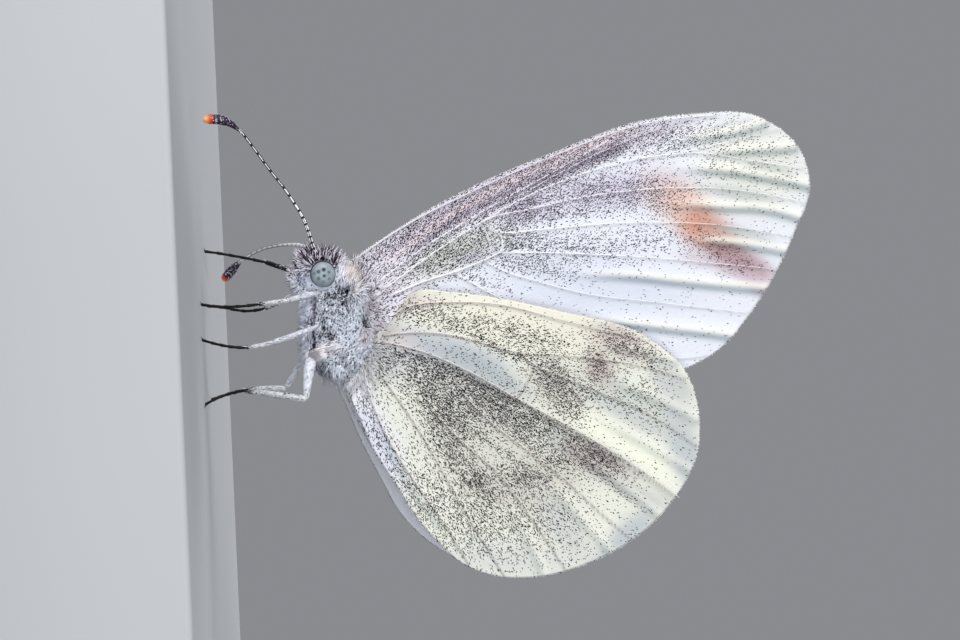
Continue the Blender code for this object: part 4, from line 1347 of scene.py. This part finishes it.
def make_body():
    skin = Skin()
    piece = new_mesh("body_skin", skin.points, skin.quads, skin_paint())
    add_colour(piece, body_colour(skin.points))
    add_value(piece, "dust", body_dust(skin.points))
    on_body(piece, "body_hair", "head", "thorax", "abdomen", "palp_left", "palp_right")
    paint = scale_paint("scaly_coat")
    for name, count, region, lengths, widths in (
            ("head_scales", 9000, (NOSE, NECK_BACK), (0.10, 0.18), (0.016, 0.028)),
            ("thorax_scales", 21000, (NECK_BACK, THORAX_BACK), (0.13, 0.24), (0.018, 0.032)),
            ("abdomen_scales", 9000, (THORAX_BACK, TAIL), (0.15, 0.26), (0.02, 0.04))):
        make_scale_coat(skin, name, paint, count, region, lengths, widths)
    make_flecks(skin, "body_flecks", paint, 5600)
    make_long_coat(skin, "head_hair", paint, ("brow", "spikes", "palps", "collar"))
    make_long_coat(skin, "thorax_hair", paint, ("belly", "swath", "tassel", "rump", "side", "hinge"))


# ---------------------------------------------------------------- eyes

# Dark spots on each eye, from its centre: (X, Z, radius, strength)
EYE_SPOTS = [(-0.235, 0.055, 0.105, 1.0), (0.075, 0.06, 0.088, 0.92), (-0.14, -0.21, 0.100, 0.70),
             (-0.10, 0.29, 0.075, 0.60), (0.19, -0.22, 0.090, 0.55), (0.22, 0.30, 0.075, 0.45),
             (-0.06, -0.42, 0.075, 0.40), (0.36, 0.02, 0.070, 0.30)]


RIM_PIECES, RIM_OFFSET, RIM_RADIUS, RIM_SWELL, RIM_THICKEST = 96, 0.10, 0.031, 0.025, math.radians(195)


def eye_paint():
    paint = Paint("eye", roughness=0.45, Specular_IOR_Level=0.30, Coat_Weight=0.06, Coat_Roughness=0.25)
    facets = paint.cells(paint.solid_place(), 26.0)
    cloud = paint.noise(paint.solid_place(), 2.6, 3.0)
    ground = paint.mix(cloud.between(0.3, 0.7), tint(127, 140, 147), tint(153, 165, 170))
    ground = paint.mix(facets.between(0.2, 0.75) * 0.30, ground, tint(104, 116, 123))
    spotted = paint.mix(paint.attribute("spot"), ground, tint(8, 10, 14))
    paint.colour(paint.mix(paint.attribute("rim"), spotted, tint(24, 24, 30)))
    return paint.bump(facets, 0.012, 0.6).material


def make_eyes():
    paint = eye_paint()
    rim_paint = Paint("eye_rim", roughness=0.5)
    grain = rim_paint.noise(rim_paint.solid_place(), 6.0)
    rim_paint.colour(rim_paint.mix(grain, tint(8, 7, 12), tint(34, 30, 40)))
    net = sphere_net(6)
    for side, name in ((LEFT, "eye_left"), (RIGHT, "eye_right")):
        centre = EYE_CENTRE * (1, side, 1)
        points, _, faces = lump(net, (0, 0, 0), EYE_HALF, 2.1)
        offset = points / EYE_HALF
        spot = np.zeros(len(points))
        for x, z, radius, strength in EYE_SPOTS:
            gap = np.hypot(points[:, 0] - x, points[:, 2] - z)
            spot = np.maximum(spot, strength * (1 - smooth_step(gap, radius * 0.55, radius * 1.25)))
        spot *= points[:, 1] * side > 0
        piece = new_mesh(name + "_ball", points + centre, faces, paint)
        add_value(piece, "spot", spot)
        add_value(piece, "rim", smooth_step(np.hypot(offset[:, 0], offset[:, 2]), 0.955, 0.99))
        on_body(piece, "eye", name)
        turn = np.linspace(0, 2 * math.pi, RIM_PIECES + 1)
        ring = np.stack([np.cos(turn), np.zeros(len(turn)), np.sin(turn)], axis=1) * EYE_HALF * 0.99
        ring[:, 1] = RIM_OFFSET * side
        thick = RIM_RADIUS + RIM_SWELL * np.cos(turn - RIM_THICKEST)
        points, faces = joined([tube(ring + centre, thick, 8)])
        on_body(new_mesh(name + "_rim", points, faces, rim_paint.material), "eye")


# ---------------------------------------------------------------- antennae

ANTENNA_ROUTES = {
    "antenna_left": [(-6.50, 0.40, 6.05), (-7.20, 0.48, 5.56), (-8.10, 0.60, 5.30), (-8.68, 0.68, 5.10),
                     (-9.48, 0.80, 4.68), (-10.07, 0.88, 4.32),
                     (-11.15, 1.08, 3.55), (-12.18, 1.26, 2.87), (-13.10, 1.45, 2.18), (-13.54, 1.58, 1.56),
                     (-13.66, 1.68, 0.99), (-13.63, 1.76, 0.48)],
    "antenna_right": [(-6.50, 0.40, 6.10), (-7.12, 0.90, 5.36), (-7.40, 1.75, 4.86), (-7.50, 2.80, 4.17),
                      (-7.46, 3.95, 3.42), (-7.33, 5.05, 2.75), (-7.10, 5.85, 2.17), (-6.76, 6.60, 1.62),
                      (-6.33, 7.30, 1.14), (-5.92, 7.82, 0.74)]}
CLUB_LENGTH, CLUB_SWELL, CLUB_FLECKS = 2.15, 0.174, 170
SHAFT_RADIUS, SHAFT_STATIONS, SHAFT_SIDES = 0.068, 640, 32
SEGMENT, BASAL_SHORTENING = 0.52, 0.22     # length of a ring, and how much shorter it is at the base
TIP_ROUNDING = 0.42
SHAFT_BLACK, SHAFT_WHITE, CLUB_PURPLE = np.array(tint(18, 14, 20)), tint(240, 238, 242), tint(40, 25, 50)
TIP_ORANGE, TIP_AMBER, CLUB_WHITE = tint(202, 76, 40), tint(248, 176, 112), tint(236, 228, 244)
# The near shaft shows its narrow white line of dashes, the far one is whiter and fainter ringed
LINE_HALF_WIDTH = {LEFT: 0.26, RIGHT: 0.60}


def antenna_paint():
    paint = Paint("antenna", roughness=0.55, Specular_IOR_Level=0.30)
    grain = paint.noise(paint.solid_place(), 5.0)
    paint.colour(paint.mix(grain.between(0.35, 0.7) * 0.15, paint.own_colour(), tint(30, 22, 36)))
    return paint.bump(grain, 0.01, 0.6).material


def antenna_radius(run, to_tip):
    """Radius of the shaft and club, how far it is club, and how far it is the stouter base."""
    basal = 1 - smooth_step(run, 1.0, 5.0)
    swell = smooth_step(CLUB_LENGTH - to_tip, 0.0, 1.35)
    radius = SHAFT_RADIUS + CLUB_SWELL * swell + 0.028 * basal + 0.03 * smooth_step(0.30 - run, 0.0, 0.30)
    end = np.clip(to_tip / TIP_ROUNDING, 0, 1)
    return np.maximum(radius * np.sqrt(np.clip(1 - (1 - end)**2, 0, 1)), 0.004), swell, basal


def antenna_colours(side, phase, offset, basal, club, tip):
    """White dashes in a line along the dark shaft, in two lines at its base, and a purple club."""
    dash = smooth_step(phase, 0.10, 0.18) * (1 - smooth_step(phase, 0.80, 0.88))
    width = LINE_HALF_WIDTH[side] - 0.07 * basal
    stripe = 1 - smooth_step(np.abs(offset - 0.58 * basal), width, width + 0.10)
    if side == RIGHT:
        dash = 0.40 + 0.45 * dash
    colours = blended(SHAFT_BLACK, SHAFT_WHITE, dash * stripe * (1 - smooth_step(club, 0.05, 0.3)))
    colours = blended(colours, CLUB_PURPLE, smooth_step(club, 0.1, 0.6))
    colours = blended(colours, TIP_ORANGE, 1 - smooth_step(tip, 0.40, 0.52))
    return blended(colours, TIP_AMBER, 1 - smooth_step(tip, 0.12, 0.36))


def make_antennae():
    paint = antenna_paint()
    for name, line in ANTENNA_ROUTES.items():
        side = LEFT if name.endswith("left") else RIGHT
        route = smooth_curve(np.array(line) * (1, side, 1), SHAFT_STATIONS)
        run = np.linspace(0, route_length(route), SHAFT_STATIONS + 1)
        to_tip = run[-1] - run
        radius, swell, basal = antenna_radius(run, to_tip)
        phase = np.cumsum(run[1] / (SEGMENT - BASAL_SHORTENING * basal)) % 1.0
        shape = tube(route, radius, SHAFT_SIDES)
        flank = unit(np.cross(forward_along(route), (0.0, 1.0, 0.0)))
        middle, flank, phase, basal, club, tip, half = (
            np.repeat(value, SHAFT_SIDES, axis=0)
            for value in (route, flank, phase, basal, swell, to_tip, radius))
        offset = np.abs(((shape[0][:-2] - middle) * flank).sum(axis=1)) / half
        colours = antenna_colours(side, phase, offset, basal, club, tip)
        points, faces = joined([shape])
        piece = new_mesh(name + "_shaft", points, faces, paint)
        add_colour(piece, np.concatenate([colours, colours[:1], colours[-1:]]))
        on_body(piece, "antenna", name)
        make_club_flecks(name, route, radius, to_tip, paint)


def tube_places(route, radius, count, low, high):
    """Random places on a tube between two shares of its length: place, outward, forward and station."""
    index = RANDOM.integers(int(low * (len(route) - 1)), int(high * (len(route) - 1)), count)
    ahead = forward_along(route)[index]
    out = laid_flat(RANDOM.normal(0, 1, (count, 3)), ahead)
    return route[index] + out * radius[index][:, None], out, ahead, index


def limb_unwrap(share, out):
    turn = np.arctan2(out[:, 1], out[:, 0]) / (2 * math.pi) + 0.5
    return np.stack([share * 0.96 + 0.02, turn * 0.96 + 0.02], axis=1)


def make_club_flecks(name, route, radius, to_tip, paint):
    """White scales scattered on the dark club."""
    count = CLUB_FLECKS
    places, out, ahead, index = tube_places(route, radius, count, 1 - CLUB_LENGTH / to_tip[0], 0.955)
    shapes = blades(places, ahead, out, RANDOM.uniform(0.06, 0.11, count),
                    RANDOM.uniform(0.020, 0.036, count))
    colours = np.array(CLUB_WHITE) * RANDOM.uniform(0.5, 1.1, (count, 1))
    add_coat(name + "_flecks", "antenna", shapes, paint, limb_unwrap(index / len(route), out), colours)


# ---------------------------------------------------------------- legs

# Each leg: route of the femur, tibia and tarsus, then (start, end) radii of the three and how dark
# the tibia is.
LEGS = {
    "leg_fore_left": ([(-5.06, 0.80, 5.74), (-4.93, 1.36, 5.05), (-4.75, 1.75, 4.28)],
                      [(-4.75, 1.75, 4.28), (-4.68, 2.00, 3.60), (-4.62, 2.25, 2.80)],
                      [(-4.62, 2.25, 2.80), (-4.55, 2.60, 1.68), (-4.62, 3.00, 0.65), (-4.72, 3.20, 0.07)],
                      (0.135, 0.115), (0.105, 0.080), 0.12),
    "leg_mid_left": ([(-3.55, 0.85, 5.78), (-3.20, 1.70, 4.95), (-2.75, 2.35, 3.40)],
                     [(-2.75, 2.35, 3.40), (-2.62, 2.60, 2.75), (-2.55, 2.80, 2.10)],
                     [(-2.55, 2.80, 2.10), (-2.65, 3.30, 1.30), (-3.02, 3.80, 0.07)],
                     (0.125, 0.115), (0.100, 0.08), 0.05),
    "leg_hind_left": ([(-2.50, 0.34, 5.62), (-2.02, 0.66, 5.30), (-1.40, 1.12, 5.09), (-0.68, 1.62, 4.98),
                       (0.08, 1.90, 4.90)],
                      [(0.08, 1.90, 4.90), (-0.16, 2.25, 3.80), (-0.36, 2.55, 2.70), (-0.50, 2.85, 1.90)],
                      [(-0.50, 2.85, 1.90), (-0.32, 3.20, 1.05), (0.10, 3.45, 0.07)],
                      (0.310, 0.125), (0.160, 0.105), 0.30),
    "leg_fore_right": ([(-5.00, 0.85, 5.80), (-5.62, 1.45, 5.22), (-6.10, 1.80, 4.70)],
                       [(-6.10, 1.80, 4.70), (-6.38, 2.15, 3.88), (-6.68, 2.45, 3.05)],
                       [(-6.68, 2.45, 3.05), (-7.00, 2.80, 1.80), (-7.35, 3.20, 0.07)],
                       (0.140, 0.115), (0.120, 0.100), 1.0),
    "leg_mid_right": ([(-3.60, 0.85, 5.95), (-5.02, 1.75, 4.85), (-4.78, 2.05, 3.90)],
                      [(-4.78, 2.05, 3.90), (-4.60, 2.35, 3.40), (-4.42, 2.60, 2.95)],
                      [(-4.42, 2.60, 2.95), (-4.33, 2.85, 2.10), (-4.58, 3.40, 0.70), (-4.66, 3.60, 0.07)],
                      (0.130, 0.110), (0.110, 0.090), 0.45),
    "leg_hind_right": ([(-2.60, 0.70, 5.60), (-1.72, 1.35, 4.70), (-0.45, 1.90, 3.80)],
                       [(-0.45, 1.90, 3.80), (-0.50, 2.40, 2.75), (-0.45, 2.75, 1.90)],
                       [(-0.45, 2.75, 1.90), (-0.30, 3.15, 1.00), (-0.05, 3.40, 0.07)],
                       (0.150, 0.120), (0.120, 0.095), 0.12)}
TARSUS_RADIUS = 0.084
LIMB_STATIONS, LIMB_SIDES = 90, 14
SPUR_PLACE = 0.96                          # how far along the tibia its spurs stand
LEG_WHITE, TIBIA_PALE = np.array(tint(222, 225, 236)), np.array(tint(226, 229, 228))
LEG_BLACK, LEG_SCALE_BLACK = tint(6, 5, 7), tint(8, 7, 10)
LEG_SCALE_WHITE, TARSUS_GREY = tint(228, 230, 240), tint(90, 86, 92)
LEG_SCALES = {"femur": (190, 1.0), "tibia": (190, 1.0), "tarsus": (110, 0.6)}    # (number to a mm, size)


def leg_paint():
    paint = Paint("leg", roughness=0.55, Specular_IOR_Level=0.22)
    place = paint.solid_place()
    grain = paint.noise(place, 6.0, 3.0)
    speck = (1 - paint.cells(place, 6.0).between(0.14, 0.30)) * paint.noise(place, 1.3).between(0.45, 0.6)
    ground = paint.mix(grain.between(0.3, 0.7) * 0.20, paint.own_colour(), tint(12, 11, 16))
    paint.colour(paint.mix(speck * 0.45, ground, tint(20, 18, 22)))
    return paint.bump(grain, 0.012, 0.7).material


def limb_radius(kind, share, radii):
    """Radius along a joint. A femur starts slim and swells, a tarsus has five joints that widen."""
    if kind == "tarsus":
        radius = TARSUS_RADIUS * (0.74 + 0.36 * ((share * 5) % 1.0)**1.5) * (1 - 0.12 * share)
        radius[0] = radius[-1] = 0.03
        return radius
    bulge = radii[0] * 0.16 if kind == "femur" else 0.01
    radius = radii[0] + (radii[1] - radii[0]) * share + bulge * np.sin(math.pi * share)
    radius = radius * np.clip(np.sqrt(1 - np.abs(2 * share - 1)**14) + 0.12, 0, 1)
    if kind == "femur":
        radius = radius * (0.60 + 0.40 * smooth_step(share, 0.05, 0.45))
    return radius


def limb_darkness(kind, share, darkness):
    """How dark a joint is along its length. The one leg marked as dark has a dark femur too."""
    if kind == "femur":
        dim = np.full(len(share), 0.06) + (darkness == 1.0) * smooth_step(share, 0.3, 0.9)
    elif kind == "tibia":
        dim = np.maximum(darkness * smooth_step(share, -0.6, 0.8), smooth_step(share, 0.60, 1.0)**1.5)
    else:
        dim = np.ones(len(share))
    return dim.clip(0, 1)


def make_legs():
    paint = leg_paint()
    share = np.linspace(0, 1, LIMB_STATIONS + 1)
    for name, (femur, tibia, tarsus, femur_radii, tibia_radii, darkness) in LEGS.items():
        mirror = (1, LEFT if name.endswith("left") else RIGHT, 1)
        parts, colours, limbs = [], [], []
        for kind, line, radii in (("femur", femur, femur_radii), ("tibia", tibia, tibia_radii),
                                  ("tarsus", tarsus, None)):
            route = smooth_curve(np.array(line) * mirror, LIMB_STATIONS)
            radius = limb_radius(kind, share, radii)
            dim = limb_darkness(kind, share, darkness)
            parts.append(tube(route, radius, LIMB_SIDES))
            tone = blended(TIBIA_PALE if kind == "tibia" else LEG_WHITE, LEG_BLACK, dim)
            colours.append(round_tube(tone, LIMB_SIDES))
            limbs.append((route, radius, dim, kind))
        before, tip = np.array(tarsus[-2:]) * mirror
        trim = [(claw(tip, before, spread), LEG_BLACK) for spread in (-1, 1)]
        trim += [(spur(limbs[1][0], spread), TIBIA_PALE * 0.8) for spread in (-1, 1)]
        for shape, colour in trim:
            parts.append(shape)
            colours.append(np.tile(colour, (len(shape[0]), 1)))
        points, faces = joined(parts)
        piece = new_mesh(name + "_limb", points, faces, paint)
        add_colour(piece, np.concatenate(colours))
        on_body(piece, "leg", name)
        make_leg_scales(name, limbs, paint)


def claw(tip, before, spread):
    """A small hooked claw that rests on the floor."""
    ahead = unit(tip - before)
    across = unit(np.cross(ahead, (0, 0, 1.0)))
    flat = unit(ahead * (1, 1, 0))
    route = smooth_curve([tip - ahead * 0.05, tip + flat * 0.07 + across * spread * 0.05,
                          tip + flat * 0.15 + across * spread * 0.09 + (0, 0, -0.045)], 12)
    return tube(route, np.linspace(0.032, 0.008, len(route)), 8)


def spur(route, spread):
    """One of the two short spines near the end of a tibia."""
    index = int(SPUR_PLACE * (len(route) - 1))
    ahead = unit(route[index] - route[index - 3])
    across = unit(np.cross(ahead, (0.3, 0.0, 1.0))) * spread
    start = route[index] + across * 0.05
    path = smooth_curve([start, start + ahead * 0.10 + across * 0.05,
                         start + ahead * 0.22 + across * 0.075], 10)
    return tube(path, np.linspace(0.022, 0.005, len(path)), 6)


def make_leg_scales(name, limbs, paint):
    """Scales that lie along each joint: white, with dark ones among them."""
    groups = []
    for route, radius, dim, kind in limbs:
        number, size = LEG_SCALES[kind]
        count = int(route_length(route) * number)
        places, out, ahead, index = tube_places(route, radius, count, 0.04, 0.96)
        heading = unit(ahead + out * 0.04 + RANDOM.normal(0, 0.08, (count, 3)))
        dark = RANDOM.uniform(0, 1, count) < dim[index] * 0.95 + 0.03
        colours = np.where(dark[:, None], LEG_SCALE_BLACK, LEG_SCALE_WHITE)
        colours = colours * RANDOM.uniform(0.75, 1.08, (count, 1))
        if kind == "tarsus":
            colours[~dark] = TARSUS_GREY
        groups.append((places, out, heading, colours, index / len(route), np.full(count, size)))
    places, out, heading, colours, share, size = (np.concatenate(group) for group in zip(*groups))
    count = len(places)
    points, faces = blades(places, heading, out, RANDOM.uniform(0.08, 0.14, count) * size,
                           RANDOM.uniform(0.016, 0.026, count) * size, lift=0.12)
    points[:, 2] = np.maximum(points[:, 2], 0.002)
    add_coat(name + "_scales", "leg", (points, faces), paint, limb_unwrap(share, out), colours)


# ---------------------------------------------------------------- floor

FLOOR_HALF, FLOOR_CORNER, FLOOR_RIM, FLOOR_DEPTH = np.array((55.0, 26.0)), 6.0, 0.35, 22.0
RIM_STEPS, CORNER_STEPS = 6, 8


def floor_outline(inset):
    """A rectangle with round corners, set in from the block's outline."""
    swings = np.linspace(0, math.pi / 2, CORNER_STEPS + 1)
    corners = []
    for quarter, signs in enumerate(((1, 1), (-1, 1), (-1, -1), (1, -1))):
        turn = quarter * math.pi / 2 + swings
        middle = (FLOOR_HALF - FLOOR_CORNER) * signs
        corners.append(middle + (FLOOR_CORNER - inset) * np.stack([np.cos(turn), np.sin(turn)], axis=1))
    return np.concatenate(corners)


def make_floor():
    """A pale block with a rounded rim. The animal stands on its top."""
    paint = Paint("pale_floor", roughness=1.0, Specular_IOR_Level=0.0)
    grain = paint.noise(paint.solid_place(0.02), 1.0, 2.0)
    paint.colour(paint.mix(grain.between(0.3, 0.7), tint(168, 170, 173), tint(172, 174, 177)))
    turn = np.linspace(0, math.pi / 2, RIM_STEPS + 1)
    insets = np.append(FLOOR_RIM * (1 - np.sin(turn)), 0.0)
    heights = np.append(-FLOOR_RIM * (1 - np.cos(turn)), -FLOOR_DEPTH)
    rings = [np.pad(floor_outline(inset), ((0, 0), (0, 1)), constant_values=height)
             for inset, height in zip(insets, heights)]
    middles = [ring.mean(axis=0) for ring in (rings[0], rings[-1])]
    points = np.concatenate(rings + [middles]) - STANCE
    quads, caps = ring_faces(len(rings), len(rings[0]))
    floor = new_mesh("floor", points, [quads[:, ::-1], caps[:, ::-1]], paint.material, smooth=False)


# ---------------------------------------------------------------- making

set_camera()
set_lights()
make_floor()
make_body()
make_eyes()
make_antennae()
make_legs()
make_wings()
